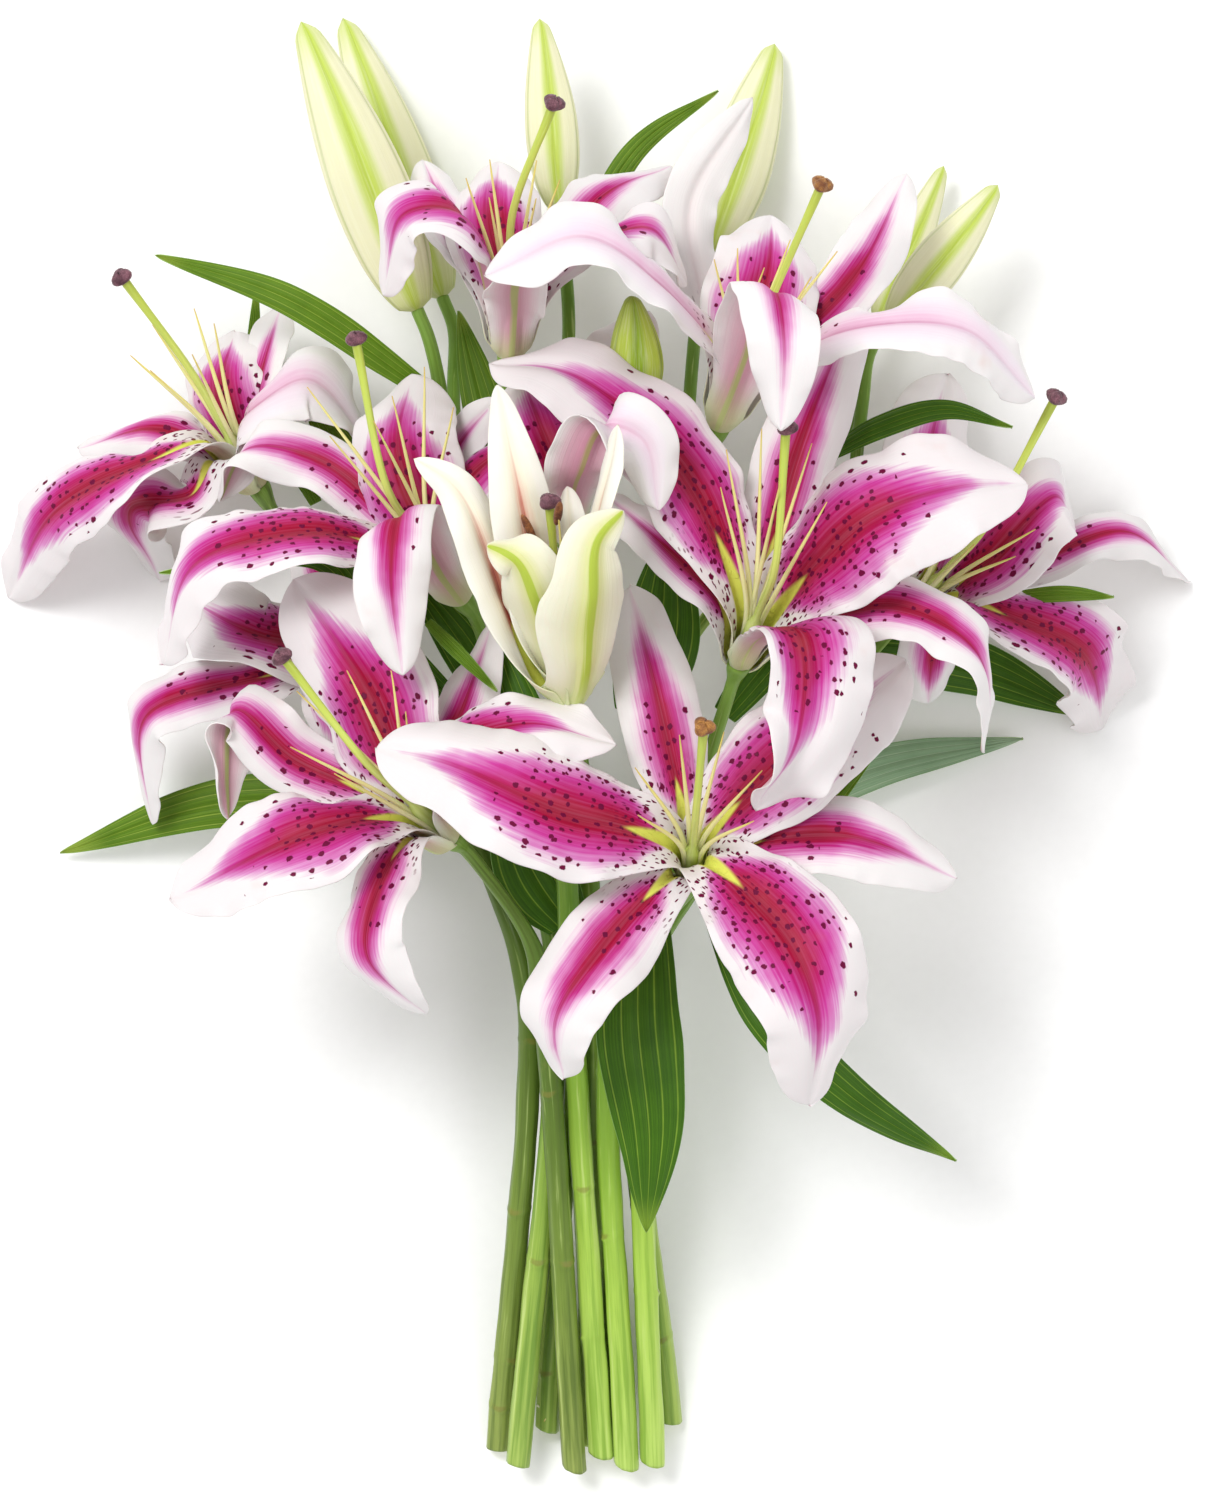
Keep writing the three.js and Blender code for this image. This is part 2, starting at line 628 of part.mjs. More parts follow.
// A closed bud: three broad faces between blunt ribs, fattest below the middle.
function budSolid({ seat, tip, wide }) {
  const foot = spot(seat);
  const end = spot(tip);
  const along = end.clone().sub(foot);
  const reach = along.length();
  along.normalize();
  const side = new THREE.Vector3(0, 0, 1).cross(along).normalize();
  const other = along.clone().cross(side);
  const stations = [0, 0.04, 0.14, 0.3, 0.5, 0.68, 0.84, 0.95];
  const rings = stations.map((u) => {
    const belly = Math.sin(Math.PI * Math.min(1, u ** 0.75 * 0.97 + 0.03)) ** 0.9;
    const bulge = budFootShare + (1 - budFootShare) * belly;
    const taper = u < 0.9 ? 1 : 0.6;
    return Array.from({ length: budSides }, (_, j) => {
      const angle = (2 * Math.PI * j) / budSides;
      const radius = (wide / 2) * bulge * taper * (1 + budRibShare * Math.cos(3 * angle));
      return foot.clone()
        .addScaledVector(along, reach * u)
        .addScaledVector(side, radius * Math.cos(angle))
        .addScaledVector(other, radius * Math.sin(angle));
    });
  });
  rings.push([end]);
  return skin(rings);
}

function leafSolid({ wide, path }) {
  const points = path.map(spot);
  const side = new THREE.Vector3(0, 0, 1).cross(points[points.length - 1].clone().sub(points[0])).normalize();
  return blade(points, side.negate(), leafSteps, (u) => {
    const belly = Math.sin(Math.PI * (0.12 + 0.88 * u)) ** 0.9;
    const halfWidth = (wide / 2) * (leafFootShare + (1 - leafFootShare) * belly);
    return { halfWidth, lift: leafTrough * halfWidth, thickness: leafThickness };
  });
}

function finish(color, roughness) {
  return new THREE.MeshStandardMaterial({ color, roughness, metalness: 0, side: THREE.FrontSide });
}

const bunch = new THREE.Group();

function add(name, geometry, color, roughness) {
  const mesh = new THREE.Mesh(geometry, finish(color, roughness));
  mesh.name = name;
  bunch.add(mesh);
}

function whorl(lily, tepals, isInner) {
  const ring = whorlRing(lily, isInner ? innerRingRadius : outerRingRadius);
  return [ring, ...tepals.map((one) => tepal(lily, one, isInner))];
}

[...lilies, openingLily].forEach((lily) => {
  const innerColor = lily.isOpening ? cream : pink;
  const outerColor = lily.isOpening ? cream : palePink;
  add(`${lily.name}_inner_tepals`, joined(whorl(lily, lily.inner, true)), innerColor, 0.5);
  add(`${lily.name}_outer_tepals`, joined(whorl(lily, lily.outer, false)), outerColor, 0.5);
  add(`${lily.name}_pistil_and_stamens`, pistilAndStamens(lily), paleGreen, 0.45);
});
hiddenLilies.forEach((lily) => {
  const tepals = [
    ...lily.inner.map((one) => tepal(lily, one, true)),
    ...lily.outer.map((one) => tepal(lily, one, false)),
  ];
  add(`${lily.name}_tepals`, joined([plug(lily), ...tepals]), pink, 0.5);
});
buds.forEach((bud) => add(bud.name, budSolid(bud), paleGreen, 0.5));
stems.forEach((stem) => add(stem.name, stemSolid(stem), green, 0.5));
leaves.forEach((leaf) => add(leaf.name, leafSolid(leaf), deepGreen, 0.45));

// The bunch rests on z = 0 with the middle of its footprint over the origin.
const box = new THREE.Box3().setFromObject(bunch, true);
const middle = box.getCenter(new THREE.Vector3());
bunch.position.set(-middle.x, -middle.y, -box.min.z);
bunch.updateMatrixWorld(true);

export default bunch;
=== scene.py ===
# A bunch of cut Oriental lilies lying on its back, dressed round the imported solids
import bisect
import math
from functools import partial

import bpy
from mathutils import Matrix, Quaternion, Vector, noise


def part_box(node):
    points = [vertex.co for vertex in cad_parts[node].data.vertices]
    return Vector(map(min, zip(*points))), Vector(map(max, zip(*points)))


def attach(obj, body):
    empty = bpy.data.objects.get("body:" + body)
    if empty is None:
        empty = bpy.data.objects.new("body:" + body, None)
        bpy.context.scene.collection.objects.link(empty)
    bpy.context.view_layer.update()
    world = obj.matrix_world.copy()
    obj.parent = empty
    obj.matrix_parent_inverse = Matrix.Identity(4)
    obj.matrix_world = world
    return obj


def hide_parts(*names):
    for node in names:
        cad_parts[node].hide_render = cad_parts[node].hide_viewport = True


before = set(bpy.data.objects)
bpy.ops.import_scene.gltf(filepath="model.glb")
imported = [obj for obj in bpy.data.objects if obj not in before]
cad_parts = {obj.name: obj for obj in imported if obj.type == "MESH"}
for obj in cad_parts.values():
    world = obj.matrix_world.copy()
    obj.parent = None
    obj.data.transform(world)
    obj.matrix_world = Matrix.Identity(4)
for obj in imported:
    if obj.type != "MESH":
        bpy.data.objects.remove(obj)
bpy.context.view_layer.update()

bpy.ops.object.select_all(action="DESELECT")
print("frame loaded,", len(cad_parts), "nodes")

mm = 0.001

# The layout is drawn in millimetres from the middle of the cut ends. Two tips that the drawing
# gives are the corners of the frame's nodes, so they say where the drawing's origin lies.
farTip = Vector((213, 309, 1)) * mm
topTip = Vector((-83, 506, 6)) * mm
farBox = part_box("far_right_lily_outer_tepals")
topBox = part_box("tall_left_back_bud")
origin = Vector((farBox[1][0] - farTip.x, topBox[1][1] - topTip.y, farBox[0][2] - farTip.z))


def at(place):
    return Vector(place) * mm + origin


def smooth(value, low, high):
    share = min(max((value - low) / (high - low), 0), 1)
    return share * share * (3 - 2 * share)


# A curve through the points that never loops at close ones. It gives back its length and a function
# from a share of the length to the place there and the way it runs.
def curveThrough(points, stepsPerSpan=24):
    ends = [points[0] * 2 - points[1], *points, points[-1] * 2 - points[-2]]
    dense = []
    for before, start, end, after in zip(ends, ends[1:], ends[2:], ends[3:]):
        first, middle, last = [
            max((b - a).length, 1e-6) ** 0.5 for a, b in ((before, start), (start, end), (end, after))
        ]
        chord = (end - start) / middle
        leaving = ((start - before) / first - (end - before) / (first + middle) + chord) * middle
        arriving = (chord - (after - start) / (middle + last) + (after - end) / last) * middle
        for step in range(stepsPerSpan):
            t = step / stepsPerSpan
            dense.append(
                start * (2 * t**3 - 3 * t**2 + 1)
                + leaving * (t**3 - 2 * t**2 + t)
                + end * (3 * t**2 - 2 * t**3)
                + arriving * (t**3 - t**2)
            )
    dense.append(points[-1].copy())
    ways = [(b - a).normalized() for a, b in zip([dense[0], *dense], [*dense[1:], dense[-1]])]
    ways = [(a + b).normalized() for a, b in zip(ways, [*ways[1:], ways[-1]])]
    ways[0] = (dense[1] - dense[0]).normalized()
    ways[-1] = (dense[-1] - dense[-2]).normalized()
    reach = [0]
    for a, b in zip(dense, dense[1:]):
        reach.append(reach[-1] + (b - a).length)

    def walk(share):
        distance = min(max(share, 0), 1) * reach[-1]
        i = min(max(bisect.bisect_right(reach, distance), 1), len(reach) - 1)
        part = (distance - reach[i - 1]) / max(reach[i] - reach[i - 1], 1e-9)
        return dense[i - 1].lerp(dense[i], part), ways[i - 1].lerp(ways[i], part).normalized()

    return reach[-1], walk

lilies = [
  {
    "name": "front_lily",
    "seat": [38, 207, 112],
    "facing": [0.03, 0.4, 0.91],
    "stigma": [42, 257, 196],
    "stigmaPaint": "tanStigma",
    "anthers": [
      [19, 244, 168], [34, 255, 172], [49, 256, 172],
      [62, 243, 164], [59, 226, 176], [20, 228, 178],
    ],
    "inner": [
      {"wide": 1.05, "path": [[-10, 231, 162], [-45, 246, 160], [-69, 251, 149]]},
      {"wide": 0.95, "path": [[72, 248, 138], [112, 281, 112]]},
      {"wide": 1.05, "path": [[70, 188, 164], [81, 160, 166], [78, 129, 150]]},
    ],
    "outer": [
      {"wide": 1, "path": [[28, 262, 130], [17, 306, 106]]},
      {"wide": 1.05, "path": [[90, 221, 142], [129, 206, 124]]},
      {"wide": 1.15, "path": [[8, 183, 152], [-7, 160, 154], [-5, 138, 140]]},
    ],
  },
  {
    "name": "right_lily",
    "seat": [55, 280, 100],
    "facing": [0.2, 0.55, 0.81],
    "stigma": [70, 358, 168],
    "anthers": [
      [48, 339, 158], [50, 352, 150], [62, 359, 152],
      [79, 354, 152], [84, 334, 160], [68, 340, 166],
    ],
    "inner": [
      {"wide": 0.95, "path": [[34, 346, 134], [0, 376, 130], [-31, 382, 118]]},
      {"wide": 1.1, "path": [[98, 329, 148], [130, 340, 146], [153, 341, 136]]},
      {"wide": 0.95, "path": [[80, 288, 164], [79, 256, 172], [60, 229, 162]],
        "slide": 0.35, "folds": [0.35, 0]},
    ],
    "outer": [
      {"wide": 1, "path": [[74, 350, 111], [96, 406, 92]]},
      {"wide": 0.95, "path": [[108, 299, 136], [136, 284, 138], [138, 249, 120]]},
      {"wide": 0.7, "path": [[34, 314, 124], [8, 338, 118]]},
    ],
  },
  {
    "name": "low_left_lily",
    "seat": [-44, 220, 98],
    "facing": [-0.5, 0.45, 0.74],
    "stigma": [-100, 281, 158],
    "anthers": [
      [-96, 270, 142], [-98, 251, 146], [-79, 277, 138],
      [-64, 277, 138], [-59, 263, 142], [-83, 242, 152],
    ],
    "inner": [
      {"wide": 1.05, "path": [[-72, 270, 112], [-98, 309, 96]]},
      {"wide": 0.95, "path": [[-92, 222, 134], [-140, 199, 116]]},
      {"wide": 0.6, "path": [[-42, 251, 136], [-16, 259.5, 147], [13, 252, 146]]},
    ],
    "outer": [
      {"wide": 0.85, "path": [[-98, 247, 104], [-118, 264, 105], [-121, 226, 94]]},
      {"wide": 0.95, "path": [[-70, 200, 134], [-72, 180, 136], [-52, 160, 122]]},
      {"wide": 0.8, "path": [[-40, 265, 104], [-30, 294, 96]]},
    ],
  },
  {
    "name": "middle_left_lily",
    "seat": [-41, 303, 84],
    "facing": [-0.42, 0.62, 0.66],
    "stigma": [-76, 389, 134],
    "anthers": [
      [-93, 374, 118], [-64, 371, 116], [-53, 381, 114],
      [-43, 367, 120], [-85, 357, 128], [-70, 362, 132],
    ],
    "inner": [
      {"wide": 0.95, "path": [[-62, 352, 96], [-58, 380, 72]]},
      {"wide": 0.8, "path": [[-94, 325, 122], [-130, 313, 116], [-143, 279, 96]]},
      {"wide": 0.55, "path": [[-30, 350, 96], [8, 357, 92]]},
    ],
    "outer": [
      {"wide": 0.8, "path": [[-88, 349, 85], [-114, 354, 79], [-125, 336, 66]]},
      {"wide": 0.95, "path": [[-61, 329, 138], [-64, 312, 146], [-60, 275, 138]]},
      {"wide": 0.7, "path": [[-44, 350, 82], [-28, 371, 88]]},
    ],
  },
  {
    "name": "far_left_lily",
    "seat": [-112, 342, 34],
    "facing": [-0.42, 0.73, 0.54],
    "stigma": [-157, 412, 84],
    "inner": [
      {"wide": 0.7, "path": [[-124, 379, 42], [-120, 396, 23]]},
      {"wide": 0.8, "path": [[-110, 370, 60], [-94, 378, 61], [-75, 359, 49]], "face": "paleFace"},
      {"wide": 0.7, "path": [[-150, 349, 64], [-182, 332, 46], [-200, 303, 1]]},
    ],
    "outer": [
      {"wide": 0.7, "path": [[-110, 380, 44], [-104, 404, 28]]},
      {"wide": 0.7, "path": [[-148, 361, 39], [-175, 355, 20]]},
      {"wide": 0.95, "path": [[-134, 338, 58], [-156, 334, 40], [-147, 309, 1]]},
    ],
  },
  {
    "name": "top_left_lily",
    "seat": [-24, 386, 92],
    "facing": [0.02, 0.86, 0.5],
    "stigma": [-9, 469, 142],
    "inner": [
      {"wide": 0.8, "path": [[-29, 431, 92], [-28, 454, 62]]},
      {"wide": 0.65, "path": [[6, 422, 126], [24, 428, 124], [37, 409, 108]]},
      {"wide": 0.8, "path": [[-44, 433, 132], [-60, 432, 132], [-67, 405, 116]]},
    ],
    "outer": [
      {"wide": 0.85, "path": [[6, 438, 94], [32, 452, 72]]},
      {"wide": 0.75, "path": [[-20, 412, 140], [-8, 424, 148]]},
      {"wide": 0.7, "path": [[-46, 434, 84], [-54, 454, 62]]},
    ],
  },
  {
    "name": "top_right_lily",
    "seat": [48, 362, 96],
    "facing": [0.3, 0.72, 0.62],
    "stigma": [82, 441, 150],
    "stigmaPaint": "tanStigma",
    "anthers": [
      [46, 417, 136], [54, 421, 130], [63, 414, 140],
      [79, 411, 142], [72, 424, 128], [88, 420, 130],
    ],
    "inner": [
      {"wide": 0.8, "path": [[27, 409, 147], [0, 424, 157], [-32, 411, 148]], "face": "paleFace"},
      {"wide": 0.9, "path": [[64, 412, 108], [66, 434, 84]]},
      {"wide": 0.75, "path": [[100, 394, 140], [132, 393, 138], [156, 370, 118]], "face": "paleFace"},
    ],
    "outer": [
      {"wide": 0.75, "path": [[42, 408, 92], [38, 438, 82], [60, 475, 76]], "face": "whiteFace"},
      {"wide": 0.85, "path": [[94, 412, 99], [113, 449, 76]]},
      {"wide": 1, "path": [[66, 404, 181], [69, 389, 192], [68, 357, 184]]},
    ],
  },
  {
    "name": "far_right_lily",
    "seat": [112, 296, 38],
    "facing": [0.45, 0.5, 0.74],
    "stigma": [163, 370, 100],
    "inner": [
      {"wide": 0.85, "path": [[142, 317, 66], [164, 338, 68], [172, 327, 48]]},
      {"wide": 0.8, "path": [[148, 296, 70], [174, 284, 54], [183, 257, 1]]},
      {"wide": 0.85, "path": [[120, 346, 46], [128, 381, 26]]},
    ],
    "outer": [
      {"wide": 0.6, "path": [[158, 316, 44], [188, 326, 36], [213, 309, 1]]},
      {"wide": 0.8, "path": [[122, 282, 58], [121, 266, 36]]},
      {"wide": 0.9, "path": [[96, 322, 54], [86, 350, 40]]},
    ],
  },
]

# The half-open flower in the middle, still cupped, with its tips just turning out.
openingLily = {
  "name": "opening_lily",
  "seat": [-3, 266, 134],
  "facing": [-0.1, 0.9, 0.42],
  "stigma": [-10, 333, 168],
  "anthers": [
    [-17, 325, 164], [-7, 330, 171], [-12, 318, 172],
    [-3, 322, 166], [-17, 316, 166], [-6, 314, 170],
  ],
  "isOpening": True,
  "face": "creamFace",
  "back": "creamBack",
  "inner": [
    {"wide": 0.78, "path": [[-15, 300, 172], [-21, 314, 178], [-31, 319, 174]],
     "roll": -0.35, "ruffle": 0.3, "point": 1.3},
    {"wide": 0.55, "path": [[-18, 325, 158], [-28, 374, 160]], "twist": -80, "ruffle": 0.3, "point": 1.4},
    {"wide": 0.5, "path": [[6, 325, 168], [13, 360, 172]], "twist": 60, "ruffle": 0.3, "point": 1.4},
  ],
  "outer": [
    {"wide": 1.15, "path": [[5, 300, 178], [6, 320, 184], [15, 331, 180]],
     "roll": -0.35, "ruffle": 0.3, "point": 1.2},
    {"wide": 0.75, "path": [[-30, 315, 157], [-41, 338, 158], [-56, 349, 154]], "twist": -80, "ruffle": 0.5,
     "point": 1.6},
    {"wide": 0.5, "path": [[-3, 320, 148], [-4, 340, 145]]},
  ],
}

# Two flowers deep in the bunch, of which only the tepals come into sight.
hiddenLilies = [
  {
    "name": "hidden_left_lily",
    "seat": [-72, 276, 36],
    "facing": [-0.4, 0.5, 0.77],
    "inner": [
      {"wide": 0.85, "path": [[-112, 290, 68], [-137, 303, 52]]},
      {"wide": 0.7, "path": [[-80, 250, 72], [-92, 236, 60]]},
      {"wide": 0.7, "path": [[-68, 306, 56], [-62, 326, 44]]},
    ],
    "outer": [
      {"wide": 0.85, "path": [[-112, 274, 66], [-150, 262, 54], [-149, 224, 24]]},
      {"wide": 0.8, "path": [[-56, 262, 70], [-50, 244, 60]]},
      {"wide": 0.8, "path": [[-88, 306, 52], [-96, 328, 36]]},
    ],
  },
  {
    "name": "hidden_middle_lily",
    "seat": [-4, 322, 98],
    "facing": [0.0, 0.7, 0.71],
    "inner": [
      {"wide": 0.6, "path": [[0, 344, 150], [8, 360, 160], [22, 355, 159], [27, 331, 151]],
       "face": "paleFace"},
      {"wide": 0.8, "path": [[-14, 362, 108], [-20, 378, 92]]},
      {"wide": 0.7, "path": [[4, 372, 88], [24, 402, 70]]},
    ],
    "outer": [],
  },
]

# Flower buds, from seat to tip.
buds = [
  {"name": "tall_left_bud", "seat": [-56, 402, 72], "tip": [-96, 501, 80], "wide": 27},
  {"name": "tall_left_back_bud", "seat": [-48, 408, 18], "tip": [-83, 506, 6], "wide": 24},
  {"name": "top_middle_bud", "seat": [-7, 437, 48], "tip": [-14, 504, 40], "wide": 18},
  {"name": "top_right_bud", "seat": [46, 424, 18], "tip": [68, 497, 6], "wide": 23},
  {"name": "right_bud", "seat": [108, 398, 54], "tip": [145, 446, 46], "wide": 18},
  {"name": "right_narrow_bud", "seat": [104, 400, 20], "tip": [127, 454, 12], "wide": 14},
  {"name": "small_green_bud", "isYoung": True, "seat": [20, 370, 98], "tip": [18, 405, 122], "wide": 18},
]

# Stems. The cut end is a lane, a distance and a layer and the waist a lane and a layer, in lanes of
# one stem and its gap. The rest is drawn. A branch leaves at a share of the stem's length and ends at
# a flower or bud.
stems = [
  {"name": "stem_1", "cut": [-3.1, 6, 0], "waist": [-2, 0.2], "up": [[-30, 205, 48], [-54, 250, 38]],
    "to": "hidden_left_lily", "branches": [{"from": 0.85, "via": [[-84, 305, 16]], "to": "far_left_lily"}]},
  {"name": "stem_2", "cut": [-2.35, 1, 1], "waist": [-0.85, 0.7], "up": [[-13, 205, 58], [-24, 255, 62]],
    "to": "middle_left_lily", "branches": []},
  {"name": "stem_3", "cut": [-1.25, 13, 0], "waist": [-0.65, -0.9],
    "up": [[-20, 225, 38], [-38, 300, 44], [-46, 360, 56]],
    "to": "tall_left_bud",
    "branches": [{"from": 0.8, "via": [[-44, 375, 26]], "to": "tall_left_back_bud"}]},
  {"name": "stem_4", "cut": [-0.2, 0, 1], "waist": [-1.4, 2.2], "up": [[-17, 184, 76]],
    "to": "low_left_lily", "branches": []},
  {"name": "stem_5", "cut": [0.8, 5, 1], "waist": [-0.3, 1.8], "up": [[-4, 200, 78], [-5, 235, 106]],
    "to": "opening_lily", "branches": []},
  {"name": "stem_6", "cut": [1.75, 1, 1], "waist": [1.3, 1.8], "up": [[24, 186, 76]],
    "to": "front_lily", "branches": []},
  {"name": "stem_7", "cut": [2.75, 2, 1], "waist": [2.4, 1.5], "up": [[32, 205, 64], [44, 245, 74]],
    "to": "right_lily", "branches": []},
  {"name": "stem_8", "cut": [3.4, 16, 0], "waist": [2.1, -0.1], "up": [[40, 205, 42], [76, 255, 34]],
    "to": "far_right_lily", "branches": [
      {"from": 0.8, "via": [[92, 320, 22], [98, 370, 46]], "to": "right_bud"},
    ]},
  {"name": "stem_9", "cut": [0.3, 8, 0], "waist": [0.5, 0.5],
    "up": [[2, 220, 56], [-8, 300, 66], [-18, 350, 74]],
    "to": "top_left_lily", "branches": [
      {"from": 0.72, "via": [], "to": "hidden_middle_lily"},
      {"from": 0.86, "via": [[-4, 390, 52]], "to": "top_middle_bud"},
    ]},
  {"name": "stem_10", "cut": [1.45, 5, 0], "waist": [1.2, -1.1],
    "up": [[22, 220, 40], [34, 290, 54], [42, 335, 74]],
    "to": "top_right_lily", "branches": [
      {"from": 0.8, "via": [[38, 370, 36]], "to": "top_right_bud"},
      {"from": 0.75, "via": [[92, 360, 30]], "to": "right_narrow_bud"},
      {"from": 0.9, "via": [], "to": "small_green_bud"},
    ]},
]

# Leaves, from where they leave a stem to the tip.
leaves = [
  {"name": "leaf_upper_left", "wide": 12, "path": [[-53, 374, 68], [-100, 405, 78], [-147, 421, 70]]},
  {"name": "leaf_far_left", "wide": 8, "path": [[-92, 336, 16], [-112, 376, 18], [-113, 413, 20]]},
  {"name": "leaf_left_behind", "wide": 14, "path": [[-60, 330, 34], [-84, 356, 36], [-98, 380, 30]]},
  {"name": "leaf_top", "wide": 9, "path": [[-2, 420, 72], [20, 458, 64], [48, 478, 60]]},
  {"name": "leaf_right_arched", "wide": 9,
    "path": [[86, 352, 76], [103, 361, 88], [126, 367, 92], [149, 361, 86]]},
  {"name": "leaf_low_left", "wide": 20, "path": [[-40, 226, 30], [-120, 232, 26], [-182, 214, 6]]},
  {"name": "leaf_bent_left", "wide": 11,
    "path": [[-44, 268, 70], [-72, 296, 84], [-88, 316, 90], [-145, 311, 76]]},
  {"name": "leaf_right", "wide": 22, "path": [[90, 286, 26], [140, 278, 10], [176, 262, 14]]},
  {"name": "leaf_low_right", "wide": 17, "path": [[44, 216, 26], [100, 243, 14], [155, 254, 6]]},
  {"name": "leaf_hanging", "wide": 31,
    "path": [[22, 196, 100], [20, 160, 112], [24, 118, 104], [23, 84, 86]]},
  {"name": "leaf_hanging_right", "wide": 18,
    "path": [[46, 196, 86], [64, 160, 108], [92, 132, 100], [130, 108, 70]]},
  {"name": "leaf_low_middle", "wide": 28, "path": [[-4, 190, 65], [-16, 208, 67], [-26, 236, 72]]},
  {"name": "leaf_middle", "wide": 30, "path": [[20, 262, 72], [28, 292, 96], [30, 326, 100]]},
  {"name": "leaf_upper_middle", "wide": 16, "path": [[-24, 335, 60], [-33, 368, 60], [-42, 402, 56]]},
]


# sRGB hex to the linear colour that the shader takes
def tint(code):
    channels = [int(code[i:i + 2], 16) / 255 for i in (1, 3, 5)]
    linear = [c / 12.92 if c <= 0.04045 else ((c + 0.055) / 1.055) ** 2.4 for c in channels]
    return (*linear, 1)


# Adds one node with its settings, values, links and colour stops. Inputs go by name, or by their order
# in a tuple. The first output comes back unless another is named, and all of them for output=None.
def addNode(tree, kind, inputs=(), stops=(), output=0, **settings):
    node = tree.nodes.new("ShaderNode" + kind)
    for setting, value in settings.items():
        setattr(node, setting, value)
    if isinstance(inputs, bpy.types.NodeSocket):
        inputs = (inputs,)
    for socket, value in inputs.items() if isinstance(inputs, dict) else enumerate(inputs):
        if isinstance(value, bpy.types.NodeSocket):
            tree.links.new(value, node.inputs[socket])
        else:
            node.inputs[socket].default_value = value
    for i, (position, code) in enumerate(stops):
        elements = node.color_ramp.elements
        element = elements[i] if i < len(elements) else elements.new(position)
        element.position = position
        element.color = tint(code)
    return node.outputs if output is None else node.outputs[output]


eased = {"interpolation_type": "SMOOTHSTEP"}  # a MapRange that starts and ends softly


def startMaterial(name):
    material = bpy.data.materials.new(name)
    material.use_nodes = True
    material.node_tree.nodes.clear()
    return material, partial(addNode, material.node_tree)


# Every grown skin is drawn on shares of its piece's width and length, and on real distances over it
def startSkin(name):
    material, add = startMaterial(name)
    share = add("SeparateXYZ", add("UVMap", uv_map="share"), output=None)
    return material, add, share, add("UVMap", uv_map="span")


# How far a point lies from the middle line
def fromMiddle(add, share):
    centred = add("Math", (share[0], 2, -1), operation="MULTIPLY_ADD")
    return add("Math", centred, operation="ABSOLUTE")


# Lengthwise fibres, so many to the width, that run on for so much of the length
def drawFibres(add, share, count, runs, luck, **noiseSettings):
    acrossAt = add("Math", (share[0], count), operation="MULTIPLY")
    alongAt = add("Math", (share[1], runs), operation="MULTIPLY")
    place = add("CombineXYZ", (acrossAt, alongAt, luck))
    return add("TexNoise", {"Vector": place, "Scale": 1, **noiseSettings})


def endMaterial(add, inputs, bump):
    height, distance, strength = bump
    normal = add("Bump", {"Height": height, "Distance": distance, "Strength": strength})
    shader = add("BsdfPrincipled", {**inputs, "Normal": normal})
    add("OutputMaterial", {"Surface": shader}, output=None)


# Fresh lily tepal, upper face: living tissue with a thin waxy skin. White rim, violet and pink
# field, crimson middle, lime nectary furrow and raised maroon spots three to four millimetres apart.
innerFace = {
    "ramp": ((0, "#8e0028"), (0.15, "#9a0034"), (0.34, "#a8065c"), (0.54, "#b8348c"), (0.72, "#c780b4"),
             (0.88, "#dcd7d7")),
    "spotReach": (0.5, 0.76),
    "spotRim": (0.64, 0.96),
    "spotMiss": 0.1,
    "hairMiss": 0.5,
    "tipWhite": 0.95,
    "midribColourAndShadeDepth": 0.5,
}
outerFace = {
    "ramp": ((0, "#8e0028"), (0.15, "#9e003a"), (0.32, "#b02278"), (0.5, "#c778ae"), (0.66, "#dcc6d2"),
             (0.8, "#dddad9")),
    "spotReach": (0.36, 0.68),
    "spotRim": (0.46, 0.8),
    "spotMiss": 0.35,
    "hairMiss": 0.5,
    "tipWhite": 0.7,
    "midribColourAndShadeDepth": 0.5,
}
paleFace = {
    "ramp": ((0, "#cb96b2"), (0.14, "#d7b0c6"), (0.34, "#dcc6d3"), (0.6, "#ded3da"), (0.8, "#e0dadd"),
             (0.9, "#dfdcdb")),
    "spotReach": (0.2, 0.45),
    "spotRim": (0.5, 0.8),
    "spotMiss": 0.5,
    "hairMiss": 0.6,
    "tipWhite": 0.5,
    "midribColourAndShadeDepth": 0.14,
}
whiteFace = {
    **paleFace,
    "ramp": ((0, "#ded5d4"), (0.3, "#dfdad8"), (0.6, "#dedbd9"), (0.9, "#dfdddb")),
    "midribColourAndShadeDepth": 0.03,
}
creamFace = {
    "ramp": ((0, "#9a3a22"), (0.1, "#c9806a"), (0.22, "#dec4ae"), (0.4, "#e2dcc6"), (0.7, "#e4e1d2"),
             (0.9, "#e5e3d8")),
    "spotReach": (0.2, 0.4),
    "spotRim": (0.1, 0.3),
    "spotMiss": 0.8,
    "hairMiss": 1,
    "tipWhite": 0.6,
    "midribColourAndShadeDepth": 0.2,
}
faceSizes = {
    "spotSpacing": 3.5 * mm,
    "spotFray": 1.3 * mm,
    "papillaSpacing": 1.3 * mm,
    "cellSize": 0.35 * mm,
}


